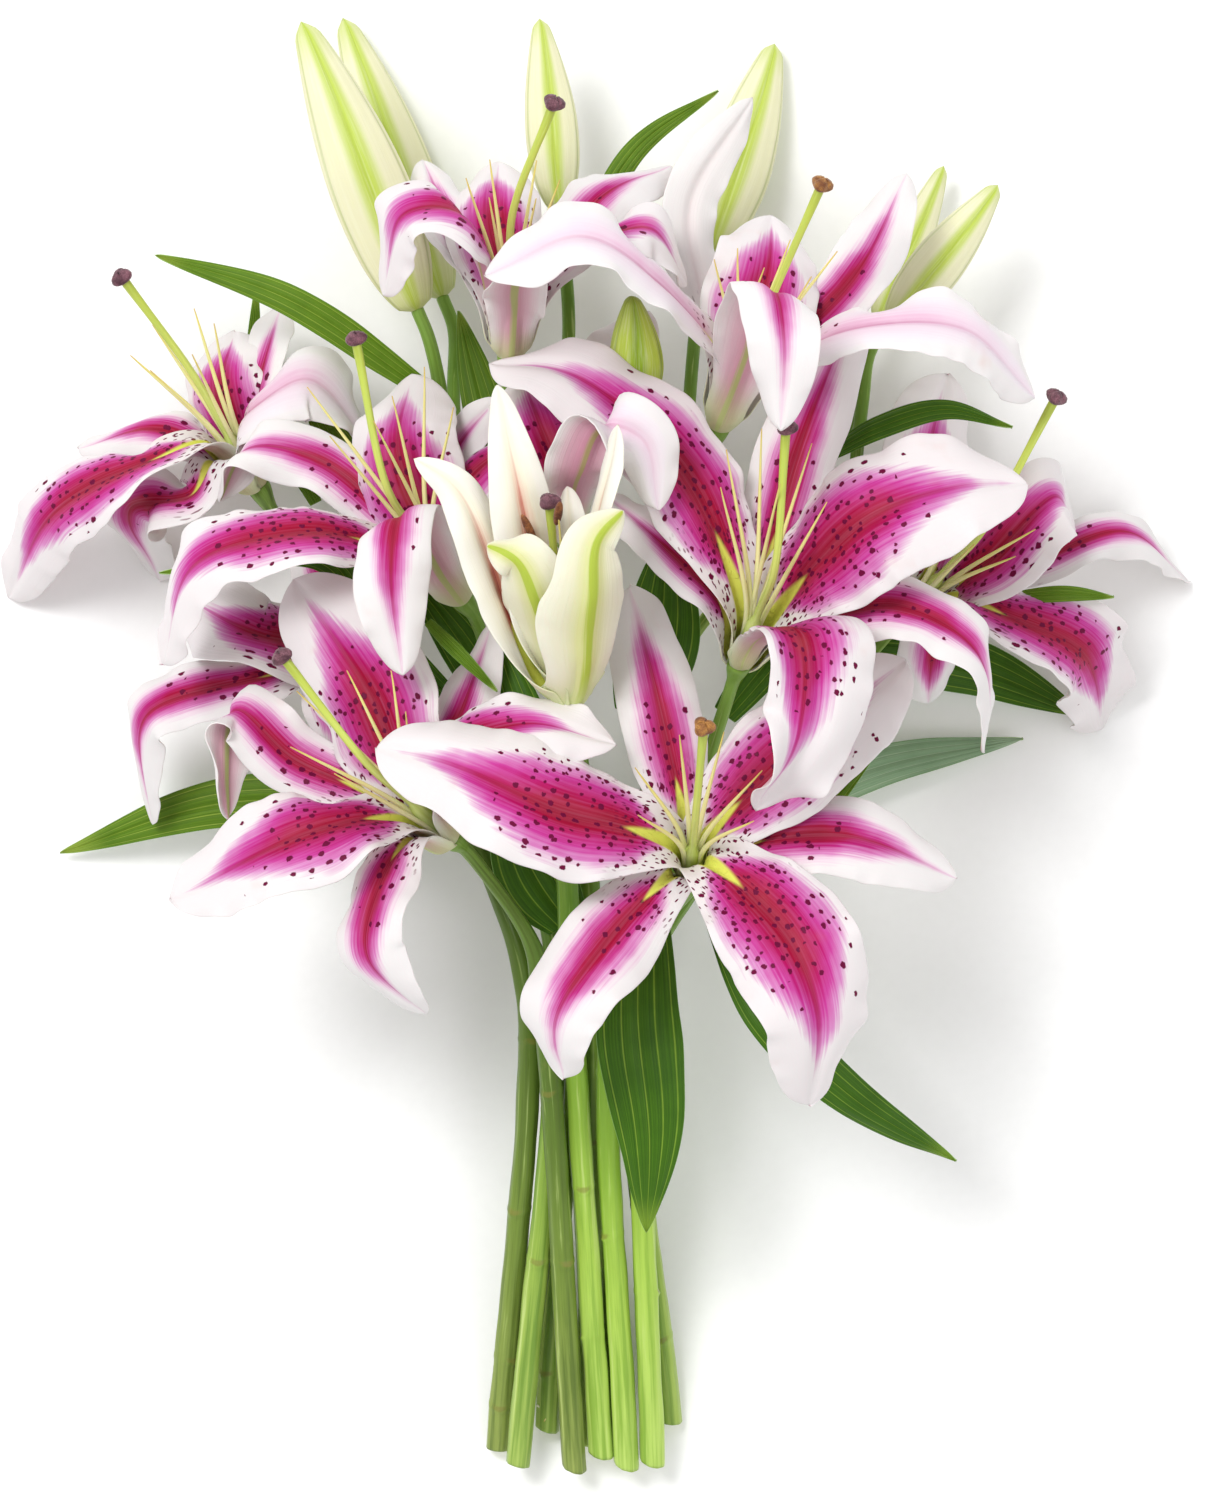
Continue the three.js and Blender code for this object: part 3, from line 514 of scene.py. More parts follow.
def makeTepalFace(name, look):
    material, add, share, span = startSkin(name)
    across = fromMiddle(add, share)
    luck = add("Math", (add("ObjectInfo", output="Random"), 40), operation="MULTIPLY")
    fibre = drawFibres(add, share, 46, 2.6, luck, Detail=3, Roughness=0.6)
    cloud = add("TexNoise", {"Vector": span, "Scale": 70, "Detail": 2})

    # How far out towards the rim a point counts, frayed by the fibres and whiter at tip and foot
    frayed = add("Math", (fibre, 0.34, across), operation="MULTIPLY_ADD")
    drifted = add("Math", (cloud, 0.26, frayed), operation="MULTIPLY_ADD")
    levelled = add("Math", (drifted, 0.3), operation="SUBTRACT")
    tip = add("MapRange", {
        "Value": share[1], "From Min": 0.48, "From Max": 1.04, "To Max": look["tipWhite"],
    }, **eased)
    foot = add("MapRange", {"Value": share[1], "From Min": 0.34, "From Max": 0.16, "To Max": 0.72}, **eased)
    outTip = add("Math", (levelled, tip))
    outFoot = add("Math", (outTip, foot))
    field = add("ValToRGB", outFoot, stops=look["ramp"])

    # The thin dark line down the middle: the midrib's own crimson, deepened by painted shade in the
    # midrib's crease
    midribColourAndShade = add("MapRange", {
        "Value": across, "From Min": 0.07, "From Max": 0.015, "To Max": look["midribColourAndShadeDepth"],
    }, **eased)
    midribColourAndShadeEnd = add("MapRange", {"Value": share[1], "From Min": 0.95, "From Max": 0.7}, **eased)
    midribColourAndShadeMask = add("Math", (midribColourAndShade, midribColourAndShadeEnd), operation="MULTIPLY")
    midribColouredAndShaded = add("MixRGB", (midribColourAndShadeMask, field, tint("#8d0f33")))

    # Pale streaks along the fibres
    streak = add("MapRange", {"Value": fibre, "From Min": 0.35, "From Max": 0.75, "To Max": 0.07})
    streaked = add("MixRGB", (streak, midribColouredAndShaded, tint("#f0c9de")))

    # A little amber where the tissue has aged
    age = add("TexNoise", {"Vector": span, "Scale": 38, "Detail": 3, "Roughness": 0.6})
    aged = add("MapRange", {"Value": age, "From Min": 0.6, "From Max": 0.82, "To Max": 0.22}, **eased)
    streaked = add("MixRGB", (aged, streaked, tint("#cf7c62")))

    # Raised maroon spots, each with its own size, fewer towards rim and tip
    spotScale = 1 / faceSizes["spotSpacing"]
    fray = add("TexNoise", {"Vector": span, "Scale": 800, "Detail": 2}, output="Color")
    pushed = add("VectorMath", (fray, (faceSizes["spotFray"],) * 3), operation="MULTIPLY")
    moved = add("VectorMath", (span, pushed))
    stretched = add("VectorMath", (moved, (1, 0.78, 1)), operation="MULTIPLY")
    cells = add("TexVoronoi", {
        "Vector": stretched, "Scale": spotScale, "Randomness": 0.85,
    }, voronoi_dimensions="2D", output=None)
    cellLuck = add("SeparateXYZ", cells["Color"], output=None)
    size = add("Math", (cellLuck[0], 0.13, 0.13), operation="MULTIPLY_ADD")
    inside = add("Math", (cells["Distance"], size), operation="SUBTRACT")
    spot = add("MapRange", {"Value": inside, "From Min": 0.05, "From Max": -0.03}, **eased)
    low, high = look["spotReach"]
    along = add("MapRange", {"Value": share[1], "From Min": high, "From Max": low}, **eased)
    rimLow, rimHigh = look["spotRim"]
    within = add("MapRange", {"Value": across, "From Min": rimHigh, "From Max": rimLow}, **eased)
    allowed = add("Math", (along, within), operation="MULTIPLY")
    needed = add("Math", (allowed, look["spotMiss"] - 1, 1), operation="MULTIPLY_ADD")
    kept = add("Math", (cellLuck[1], needed), operation="GREATER_THAN")
    spots = add("Math", (spot, kept), operation="MULTIPLY")

    # Short hair-like papillae round the throat
    hairScale = 1 / faceSizes["papillaSpacing"]
    hairAt = add("VectorMath", (span, (1, 0.3, 1)), operation="MULTIPLY")
    hairCells = add("TexVoronoi", {
        "Vector": hairAt, "Scale": hairScale, "Randomness": 1,
    }, voronoi_dimensions="2D", output=None)
    hair = add("MapRange", {"Value": hairCells["Distance"], "From Min": 0.26, "From Max": 0.16}, **eased)
    hairKept = add("Math", (add("SeparateXYZ", hairCells["Color"]), look["hairMiss"]),
                   operation="GREATER_THAN")
    hairBand = add("MapRange", {"Value": share[1], "From Min": 0.42, "From Max": 0.3}, **eased)
    hairMask = add("Math", (hair, hairKept), operation="MULTIPLY")
    hairs = add("Math", (hairMask, hairBand), operation="MULTIPLY")
    marks = add("Math", (spots, hairs), operation="MAXIMUM")
    marked = add("MixRGB", (marks, streaked, tint("#640434")))

    # Nectary furrow
    taper = add("Math", (share[1], 1.9, across), operation="MULTIPLY_ADD")
    furrowSide = add("MapRange", {"Value": taper, "From Min": 0.7, "From Max": 0.6}, **eased)
    furrowEnd = add("MapRange", {"Value": share[1], "From Min": 0.36, "From Max": 0.32}, **eased)
    furrow = add("Math", (furrowSide, furrowEnd), operation="MULTIPLY")
    colour = add("MixRGB", (furrow, marked, tint("#d6da62")))

    cell = add("TexNoise", {"Vector": span, "Scale": 1 / faceSizes["cellSize"], "Detail": 2})
    ribs = add("Math", (fibre, 0.5), operation="MULTIPLY")
    grain = add("Math", (cell, 0.1, ribs), operation="MULTIPLY_ADD")
    height = add("Math", (marks, 0.9, grain), operation="MULTIPLY_ADD")
    rough = add("MapRange", {"Value": cell, "To Min": 0.42, "To Max": 0.58})
    endMaterial(add, {
        "Base Color": colour, "Roughness": rough, "IOR": 1.4, "Specular IOR Level": 0.16,
        "Subsurface Weight": 0.1, "Subsurface Radius": (1, 0.7, 0.75), "Subsurface Scale": 1.2 * mm,
    }, (height, 0.4 * mm, 0.5))
    return material


# The same tepal's back: paler, matt, with a greenish tan keel and the pink of the face glowing through
innerBack = {"keel": "#a99a6c", "glow": "#bd8598", "field": "#d1a7b5", "rim": "#ded8d7", "keelWidth": 0.03}
outerBack = {"keel": "#a3a56c", "glow": "#c2929f", "field": "#d4b3bd", "rim": "#dfd9d8", "keelWidth": 0.06}
creamBack = {"keel": "#a9ba45", "glow": "#cdd08c", "field": "#dcdabb", "rim": "#e2e0cc", "keelWidth": 0.07}


def makeTepalBack(name, look):
    material, add, share, span = startSkin(name)
    across = fromMiddle(add, share)
    fibre = drawFibres(add, share, 40, 2.2, add("ObjectInfo", output="Random"), Detail=3)
    frayed = add("Math", (fibre, 0.2, across), operation="MULTIPLY_ADD")
    levelled = add("Math", (frayed, 0.1), operation="SUBTRACT")
    stops = (
        (0, look["keel"]), (look["keelWidth"], look["keel"]), (look["keelWidth"] + 0.06, look["glow"]),
        (0.5, look["field"]), (0.85, look["rim"]),
    )
    field = add("ValToRGB", levelled, stops=stops)
    foot = add("MapRange", {"Value": share[1], "From Min": 0.26, "From Max": 0.02, "To Max": 0.7}, **eased)
    colour = add("MixRGB", (foot, field, tint("#c6d08c")))
    cell = add("TexNoise", {"Vector": span, "Scale": 1 / faceSizes["cellSize"], "Detail": 2})
    height = add("Math", (cell, 0.12, fibre), operation="MULTIPLY_ADD")
    endMaterial(add, {
        "Base Color": colour, "Roughness": 0.5, "IOR": 1.4, "Specular IOR Level": 0.25,
        "Subsurface Weight": 0.22, "Subsurface Radius": (1, 0.6, 0.7), "Subsurface Scale": 1.6 * mm,
    }, (height, 0.4 * mm, 0.5))
    return material


# Living green tissue with a colour that runs along it, fine stripes down its length and pale streaks of
# painted highlight between them, for stems, styles and filaments
def makeStalk(name, ramp, stripe, stripes, roughness, wear=0.4):
    material, add, share, span = startSkin(name)
    luck = add("ObjectInfo", output="Random")
    fibre = drawFibres(add, share, stripes, 4, luck, Detail=4, Roughness=0.6)
    field = add("ValToRGB", share[1], stops=ramp)
    stripeMask = add("MapRange", {
        "Value": fibre, "From Min": 0.42, "From Max": 0.66, "To Max": 0.85,
    }, **eased)
    striped = add("MixRGB", (stripeMask, field, tint(stripe)))
    # Painted highlight: pale streaks along the fibres stand in for shine on the glossy skin
    paintedShine = add("MapRange", {"Value": fibre, "From Min": 0.42, "From Max": 0.28, "To Max": 0.55}, **eased)
    striped = add("MixRGB", (paintedShine, striped, tint("#cfdf8e")))
    blotch = add("TexNoise", {"Vector": span, "Scale": 45, "Detail": 4, "Roughness": 0.7})
    worn = add("MapRange", {"Value": blotch, "From Min": 0.62, "From Max": 0.78, "To Max": wear}, **eased)
    marked = add("MixRGB", (worn, striped, tint("#8d8b48")))
    mark = add("SeparateXYZ", (add("UVMap", uv_map="marks"),))
    torn = add("Math", (blotch, 0.6, mark), operation="MULTIPLY_ADD")
    scar = add("MapRange", {"Value": torn, "From Min": 0.55, "From Max": 1.05, "To Max": 0.6}, **eased)
    scarred = add("MixRGB", (scar, marked, tint("#7f7a3a")))
    cut = add("Math", (share[1], 0), operation="LESS_THAN")
    colour = add("MixRGB", (cut, scarred, tint("#e3e8bd")))
    height = add("Math", (blotch, 0.3, fibre), operation="MULTIPLY_ADD")
    endMaterial(add, {
        "Base Color": colour, "Roughness": roughness, "IOR": 1.42, "Specular IOR Level": 0.3,
        "Subsurface Weight": 0.1, "Subsurface Radius": (0.7, 1, 0.3), "Subsurface Scale": 1.2 * mm,
    }, (height, 0.4 * mm, 0.45))
    return material


# Lily leaf: a glossy cuticle over parallel veins, duller and greyer beneath
def makeLeafSkin(name, deep, fresh, vein, roughness, veins=2.5):
    material, add, share, span = startSkin(name)
    across = fromMiddle(add, share)
    fibre = drawFibres(add, share, 60, 1, add("ObjectInfo", output="Random"), Detail=4, Roughness=0.65)
    mottle = add("TexNoise", {"Vector": span, "Scale": 90, "Detail": 5})
    tone = add("MapRange", {"Value": fibre, "From Min": 0.3, "From Max": 0.7})
    field = add("MixRGB", (tone, tint(deep), tint(fresh)))
    turns = add("Math", (across, veins * math.pi), operation="MULTIPLY")
    ridge = add("Math", (add("Math", turns, operation="COSINE"),), operation="ABSOLUTE")
    veinMask = add("MapRange", {"Value": ridge, "From Min": 0.98, "From Max": 1, "To Max": 0.6}, **eased)
    veined = add("MixRGB", (veinMask, field, tint(vein)))
    ends = add("MapRange", {"Value": share[1], "From Min": 0.86, "From Max": 1, "To Max": 0.6}, **eased)
    dark = add("MapRange", {"Value": mottle, "From Min": 0.4, "From Max": 0.7, "To Max": 0.35})
    mottled = add("MixRGB", (dark, veined, tint(deep)))
    colour = add("MixRGB", (ends, mottled, tint(vein)))
    height = add("Math", (veinMask, -0.9, fibre), operation="MULTIPLY_ADD")
    rough = add("MapRange", {"Value": mottle, "To Min": roughness - 0.07, "To Max": roughness + 0.1})
    endMaterial(add, {
        "Base Color": colour, "Roughness": rough, "IOR": 1.45, "Specular IOR Level": 0.2,
        "Subsurface Weight": 0.06, "Subsurface Radius": (0.5, 1, 0.2), "Subsurface Scale": 1 * mm,
    }, (height, 0.35 * mm, 0.5))
    return material


# Lily bud: pale cream-green skin, lime along the three keels, greener at foot and beak, with painted shade
# down the seams where the tepals meet
def makeBudSkin(name, skin, keel, shade):
    material, add, share, span = startSkin(name)
    turns = add("Math", (share[0], 6 * math.pi), operation="MULTIPLY")
    facing = add("Math", turns, operation="COSINE")
    fibre = drawFibres(add, share, 90, 3, add("ObjectInfo", output="Random"), Detail=4, Roughness=0.6)
    frayed = add("Math", (fibre, 0.5, facing), operation="MULTIPLY_ADD")
    rib = add("MapRange", {"Value": frayed, "From Min": 0.35, "From Max": 1.3}, **eased)
    # Painted shade: the grooved seams between the tepals are darkened with the shade colour
    seam = add("MapRange", {"Value": facing, "From Min": -0.975, "From Max": -1, "To Max": 0.5}, **eased)
    field = add("MixRGB", (rib, tint(skin), tint(keel)))
    ends = add("ValToRGB", share[1], stops=(
        (0, "#c8c8c8"), (0.16, "#3c3c3c"), (0.5, "#000000"), (0.84, "#2a2a2a"), (1, "#d8d8d8"),
    ))
    ended = add("MixRGB", (ends, field, tint(keel)))
    seamShaded = add("MixRGB", (seam, ended, tint(shade)))
    streak = add("MapRange", {"Value": fibre, "From Min": 0.45, "From Max": 0.75, "To Max": 0.35})
    colour = add("MixRGB", (streak, seamShaded, tint("#ecedd4")))
    cell = add("TexNoise", {"Vector": span, "Scale": 1 / faceSizes["cellSize"], "Detail": 2})
    height = add("Math", (cell, 0.15, fibre), operation="MULTIPLY_ADD")
    endMaterial(add, {
        "Base Color": colour, "Roughness": 0.42, "IOR": 1.42, "Specular IOR Level": 0.3,
        "Subsurface Weight": 0.2, "Subsurface Radius": (0.9, 1, 0.5), "Subsurface Scale": 2 * mm,
    }, (height, 0.35 * mm, 0.45))
    return material


# Stigma and anther: a velvety skin of tiny domes. Real ones are a tenth to a third of a millimetre
# across, and they are drawn a little coarser, so that they show.
def makeVelvet(name, light, dark):
    material, add = startMaterial(name)
    place = add("TexCoord", output="Object")
    domes = add("TexVoronoi", {"Vector": place, "Scale": 1 / (0.45 * mm)}, output="Distance")
    cloud = add("TexNoise", {"Vector": place, "Scale": 420, "Detail": 3})
    tone = add("MapRange", {"Value": cloud, "From Min": 0.35, "From Max": 0.65})
    base = add("MixRGB", (tone, tint(dark), tint(light)))
    # Painted shade in the hollows between the domes
    pitShade = add("MapRange", {"Value": domes, "From Min": 0.3, "From Max": 0.75, "To Max": 0.6})
    colour = add("MixRGB", (pitShade, base, tint(dark)))
    lowered = add("Math", (1, domes), operation="SUBTRACT")
    endMaterial(add, {
        "Base Color": colour, "Roughness": 0.6, "IOR": 1.45, "Sheen Weight": 0.2, "Sheen Roughness": 0.4,
    }, (lowered, 0.25 * mm, 0.7))
    return material


materials = {
    "innerFace": makeTepalFace("inner_tepal_upper_face", innerFace),
    "outerFace": makeTepalFace("outer_tepal_upper_face", outerFace),
    "paleFace": makeTepalFace("pale_tepal_upper_face", paleFace),
    "whiteFace": makeTepalFace("white_tepal_upper_face", whiteFace),
    "creamFace": makeTepalFace("opening_tepal_upper_face", creamFace),
    "innerBack": makeTepalBack("inner_tepal_back", innerBack),
    "outerBack": makeTepalBack("outer_tepal_back", outerBack),
    "creamBack": makeTepalBack("opening_tepal_back", creamBack),
    "brightStem": makeStalk("young_lily_stem", (
        (0, "#b3ce68"), (0.25, "#a6c652"), (0.45, "#88ac3c"), (0.7, "#678f2e"), (1, "#7fa245"),
    ), "#7fa338", 11, 0.3),
    "stem": makeStalk("cut_lily_stem", (
        (0, "#a0b85c"), (0.25, "#90ac48"), (0.45, "#749636"), (0.7, "#5a7e28"), (1, "#7fa245"),
    ), "#688a33", 11, 0.3),
    "oliveStem": makeStalk("older_lily_stem", (
        (0, "#8f9e52"), (0.25, "#748a3a"), (0.45, "#637c30"), (0.7, "#506c26"), (1, "#7fa245"),
    ), "#566b2a", 11, 0.34),
    "style": makeStalk("lily_style", (
        (0, "#9dbb5c"), (0.2, "#cfdc8c"), (0.6, "#ccd66c"), (0.9, "#b9c650"), (1, "#a0ad48"),
    ), "#b5c65e", 9, 0.38, 0.08),
    "filament": makeStalk("lily_filament", (
        (0, "#eeefd0"), (0.4, "#eeebb4"), (0.75, "#eadf86"), (0.95, "#dfc95e"), (1, "#c79b4a"),
    ), "#e2e2a4", 7, 0.4, 0),
    "deepLeaf": makeLeafSkin("lily_leaf_deep", "#2c5208", "#4b7614", "#8fae3a", 0.38),
    "leaf": makeLeafSkin("lily_leaf", "#44660f", "#67891f", "#a4b74c", 0.4),
    "greyLeaf": makeLeafSkin("lily_leaf_grey", "#6b8a66", "#8ea886", "#a9bd9f", 0.5),
    "leafBack": makeLeafSkin("lily_leaf_back", "#6c9048", "#8db268", "#b1cc8a", 0.55),
    "bud": makeBudSkin("lily_bud", "#dedcb8", "#b3c64a", "#a9b764"),
    "greenBud": makeBudSkin("young_lily_bud", "#b3c74c", "#8dab2c", "#7d9a34"),
    "plumStigma": makeVelvet("stigma_plum", "#8a5a66", "#4a2531"),
    "tanStigma": makeVelvet("stigma_tan", "#b8823c", "#6e3d1a"),
    "anther": makeVelvet("anther_brown", "#a5683a", "#5b2c18"),
}
print(len(materials), "materials made")


# A grid is added, then each of its points is laid by a rule that gives the place, the share of width
# and length, and the real distances that the patterns are drawn with
def layGrid(name, across, rows, lay):
    bpy.ops.mesh.primitive_grid_add(x_subdivisions=across, y_subdivisions=rows, size=2)
    piece = bpy.context.object
    piece.name = piece.data.name = name
    mesh = piece.data
    laid = [lay(vertex.co.x, (vertex.co.y + 1) / 2) for vertex in mesh.vertices]
    mesh.uv_layers[0].name = "share"
    mesh.uv_layers.new(name="span")
    mesh.uv_layers.new(name="marks")
    for number, layer in enumerate(("share", "span", "marks")):
        data = mesh.uv_layers[layer].data
        for loop in mesh.loops:
            data[loop.index].uv = laid[loop.vertex_index][number + 1]
    for vertex, (place, *_) in zip(mesh.vertices, laid):
        vertex.co = place
    bpy.ops.object.mode_set(mode="EDIT")
    bpy.ops.mesh.select_all(action="SELECT")
    bpy.ops.mesh.remove_doubles(threshold=0.02 * mm)
    bpy.ops.object.mode_set(mode="OBJECT")
    return piece


def applyModifier(piece, kind, **settings):
    bpy.ops.object.modifier_add(type=kind)
    modifier = piece.modifiers[-1]
    for setting, value in settings.items():
        setattr(modifier, setting, value)
    bpy.ops.object.modifier_apply(modifier=modifier.name)


def paint(piece, *names):
    piece.data.materials.clear()
    for name in names:
        piece.data.materials.append(materials[name])


def finishPiece(piece, node):
    for face in piece.data.polygons:
        face.use_smooth = True
    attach(piece, "root")
    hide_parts(node)
    piece.select_set(False)


def joinPieces(name, pieces):
    bpy.ops.object.select_all(action="DESELECT")
    for piece in pieces:
        piece.select_set(True)
    bpy.context.view_layer.objects.active = pieces[0]
    bpy.ops.object.join()
    pieces[0].name = pieces[0].data.name = name
    return pieces[0]


# A thin blade gets its thickness downwards, with the second material on the new side, and rounded rims
def thickenBlade(piece, thickness, rimShare):
    rim = piece.vertex_groups.new(name="body")
    middle = {}
    for loop in piece.data.loops:
        middle[loop.vertex_index] = abs(2 * piece.data.uv_layers["share"].data[loop.index].uv.x - 1)
    for index, across in middle.items():
        rim.add([index], 1 - across**2, "REPLACE")
    applyModifier(
        piece, "SOLIDIFY", thickness=thickness, offset=-1, material_offset=1, material_offset_rim=1,
        vertex_group="body", thickness_vertex_group=rimShare,
    )
    piece.vertex_groups.clear()
    applyModifier(piece, "SUBSURF", levels=1, render_levels=1)


# Tepals
tepalSizes = {
    "innerWidth": 44 * mm,
    "outerWidth": 29 * mm,
    "clawWidth": 14 * mm,
    "openingClawWidth": 22 * mm,
    "tubeDepth": 26 * mm,
    "openingTubeDepth": 15.6 * mm,
    "throatSpread": 8 * mm,
    "whorlSpacing": 4 * mm,
    "innerRing": 4 * mm,
    "outerRing": 6.6 * mm,
    "clearance": 0.3 * mm,
    "thickness": 1.1 * mm,
    "rimShare": 0.45,
    "innerRoll": 0.24,
    "outerRoll": 0.3,
    "point": 3,
    "ruffle": 10 * mm,
    "outerRuffle": 0.75,
    "ruffleLength": 22 * mm,
    "ripple": 3 * mm,
    "rippleLength": 7 * mm,
    "sag": 2.2 * mm,
    "sagLength": 38 * mm,
    "unevenWidth": 0.07,
    "unevenLength": 17 * mm,
    "crease": 0.13,
    "creaseWidth": 0.2,
    "footShare": 0.62,
    "hipHeight": 4 * mm,
    "furrowDepth": 1.1 * mm,
    "furrowWidth": 1.5 * mm,
    "columns": 20,
    "rows": 58,
}


def tepalShare(u, claw, point):
    opening = claw + (1 - claw) * smooth(u, 0.08, 0.5)
    past = max(0, (u - 0.5) / 0.5)
    return opening * max(0, 1 - past**point) ** 0.6


def layTepal(name, flower, tepal, isInner, seed):
    sizes = tepalSizes
    seat = at(flower["seat"])
    facing = Vector(flower["facing"]).normalized()
    points = [at(place) for place in tepal["path"]]
    outward = points[0] - seat
    outward = (outward - facing * outward.dot(facing)).normalized()
    ring = sizes["innerRing"] if isInner else sizes["outerRing"]
    spread = sizes["throatSpread"] + (0 if isInner else sizes["whorlSpacing"])
    isOpening = flower.get("isOpening", False)
    depth = sizes["openingTubeDepth"] if isOpening else sizes["tubeDepth"]
    depth -= 0 if isInner else sizes["whorlSpacing"]
    foot = seat + outward * ring * 0.6 + facing * sizes["clearance"]
    hip = seat + outward * ring + facing * sizes["hipHeight"]
    throat = seat + facing * depth + outward * spread
    length, walk = curveThrough([foot, hip, throat, *points])
    side = facing.cross(outward)
    fullWidth = tepal["wide"] * (sizes["innerWidth"] if isInner else sizes["outerWidth"])
    clawWidth = sizes["openingClawWidth"] if isOpening else sizes["clawWidth"]
    claw = min(clawWidth / fullWidth, 1)
    roll = tepal.get("roll", sizes["innerRoll"] if isInner else sizes["outerRoll"])
    twist = math.radians(tepal.get("twist", 0))
    ruffle = tepal.get("ruffle", 1) * (1 if isInner else sizes["outerRuffle"])
    folds = tepal.get("folds", (0, 0))
    slide = tepal.get("slide", 0)
    shift = Vector((0.021 * (seed % 7), 0.037 * (seed % 11)))

    def lay(x, u):
        v = -x
        far = abs(v)
        hand = 1 if v > 0 else 0
        place, along = walk(u)
        across = (side - along * side.dot(along)).normalized()
        across = Quaternion(along, twist * u) @ across
        inward = along.cross(across)
        half = fullWidth / 2 * tepalShare(u, claw, tepal.get("point", sizes["point"])) * (
            sizes["footShare"] + (1 - sizes["footShare"]) * smooth(u, 0, 0.08)
        )
        edge = noise.noise(Vector((u * length / sizes["unevenLength"], hand * 7.3, seed)))
        half *= 1 + sizes["unevenWidth"] * edge * far**2
        cup = half * half / (2 * (ring + spread * smooth(u, 0, 0.3)))
        tube = 1 - smooth(u, 0.12, 0.4)
        crease = sizes["crease"] * (1 - math.exp(-((far / sizes["creaseWidth"]) ** 2)))
        blade = half * (crease - roll * far**2.4)
        lift = cup * far * far * tube + blade * (1 - tube)
        wave = noise.noise(Vector((u * length / sizes["ruffleLength"], hand * 5.1 + 2, seed * 1.7)))
        slow = noise.noise(Vector((u * length / sizes["sagLength"], 9.2, seed * 2.3)))
        calm = smooth(u, 0.18, 0.45) * (1 - 0.7 * smooth(u, 0.88, 1))
        fine = noise.noise(Vector((u * length / sizes["rippleLength"], hand * 3.3 + 6, seed * 1.3)))
        lift += ruffle * (sizes["ruffle"] * wave * far**2.2 + sizes["ripple"] * fine * far**4) * calm
        lift += sizes["sag"] * slow * calm
        lift += folds[hand] * half * smooth(far, 0.35, 1) * smooth(u, 0.2, 0.5)
        nectary = (1 - smooth(u, 0.22, 0.34)) * smooth(u, 0, 0.06)
        apart = half * v / sizes["furrowWidth"]
        lift -= sizes["furrowDepth"] * nectary * math.exp(-(apart**2))
        lift += sizes["furrowDepth"] * 0.6 * nectary * math.exp(-((abs(apart) - 2) ** 2))
        spot = place + across * half * v + inward * lift
        coloured = v + slide * (1 - v * v)
        return spot, ((1 - coloured) / 2, u), (half * v + shift.x, u * length + shift.y), (0, 0)

    piece = layGrid(name, sizes["columns"], sizes["rows"], lay)
    kind = "inner" if isInner else "outer"
    face = tepal.get("face", flower.get("face", kind + "Face"))
    paint(piece, face, flower.get("back", kind + "Back"))
    thickenBlade(piece, sizes["thickness"], sizes["rimShare"])
    return piece


# A round rod along a curve. Its ends close to the middle, flat where it was cut and round elsewhere.
# surfaceAt gives how far the skin stands out and how marked it is, at a distance and an angle.
def layRod(name, points, radiusAt, sides, rows, flatStart=False, surfaceAt=None, slant=0):
    length, walk = curveThrough(points)
    first = (0, 0.55, 0.93, 1) if flatStart else (0, 0.5, 0.85, 1)
    stations = [(0, share, True) for share in first]
    stations += [(i / rows, 1, False) for i in range(1, rows)]
    stations += [(1, share, True) for share in (1, 0.85, 0.5, 0)]
    turned = Vector((1, 0.02, 0.01))
    rings = []
    for u, share, isCap in stations:
        place, along = walk(u)
        turned = (turned - along * turned.dot(along)).normalized()
        if u == 1:
            place = place + along * radiusAt(1) * 0.5 * math.sqrt(1 - share**2)
        rings.append((u, share, isCap, place, turned.copy(), along.cross(turned)))

    def lay(x, row):
        u, share, isCap, place, one, other = rings[round(row * (len(rings) - 1))]
        angle = math.pi * x
        rise, mark = surfaceAt(u * length, angle) if surfaceAt else (0, 0)
        radius = (radiusAt(u) + rise) * share
        spot = place + one * radius * math.cos(angle) + other * radius * math.sin(angle)
        if flatStart:
            near = max(0, 1 - u * length / stemSizes["slantReach"])
            spot += walk(0)[1] * slant * radius * math.cos(angle - 2 * slant) * near
        shown = -0.05 if flatStart and u == 0 and share < 0.9 else u
        return spot, ((x + 1) / 2, shown), (radiusAt(u) * angle, u * length), (mark, 0)

    return layGrid(name, sides, len(rings) - 1, lay)


# Pistil and stamens
pistilSizes = {
    "ovaryRadius": 2.7 * mm,
    "styleRadius": 1.35 * mm,
    "styleTopRadius": 1.65 * mm,
    "stigmaRadius": 3.6 * mm,
    "filamentRadius": 1 * mm,
    "filamentTip": 0.2 * mm,
    "filamentLength": 68 * mm,
    "filamentSpread": 16 * mm,
    "filamentFoot": 2 * mm,
    "filamentRing": 1.6 * mm,
    "filamentBow": 5 * mm,
    "antherLength": 12 * mm,
    "antherWidth": 3 * mm,
}


def antherPlaces(flower):
    if "anthers" in flower:
        return [at(place) for place in flower["anthers"]]
    facing = Vector(flower["facing"]).normalized()
    side = Vector((1, 0, 0)).cross(facing).normalized()
    places = []
    for i in range(6):
        turned = Quaternion(facing, math.pi * (i + 0.5) / 3) @ side
        reach = facing * pistilSizes["filamentLength"] + turned * pistilSizes["filamentSpread"]
        places.append(at(flower["seat"]) + reach)
    return places


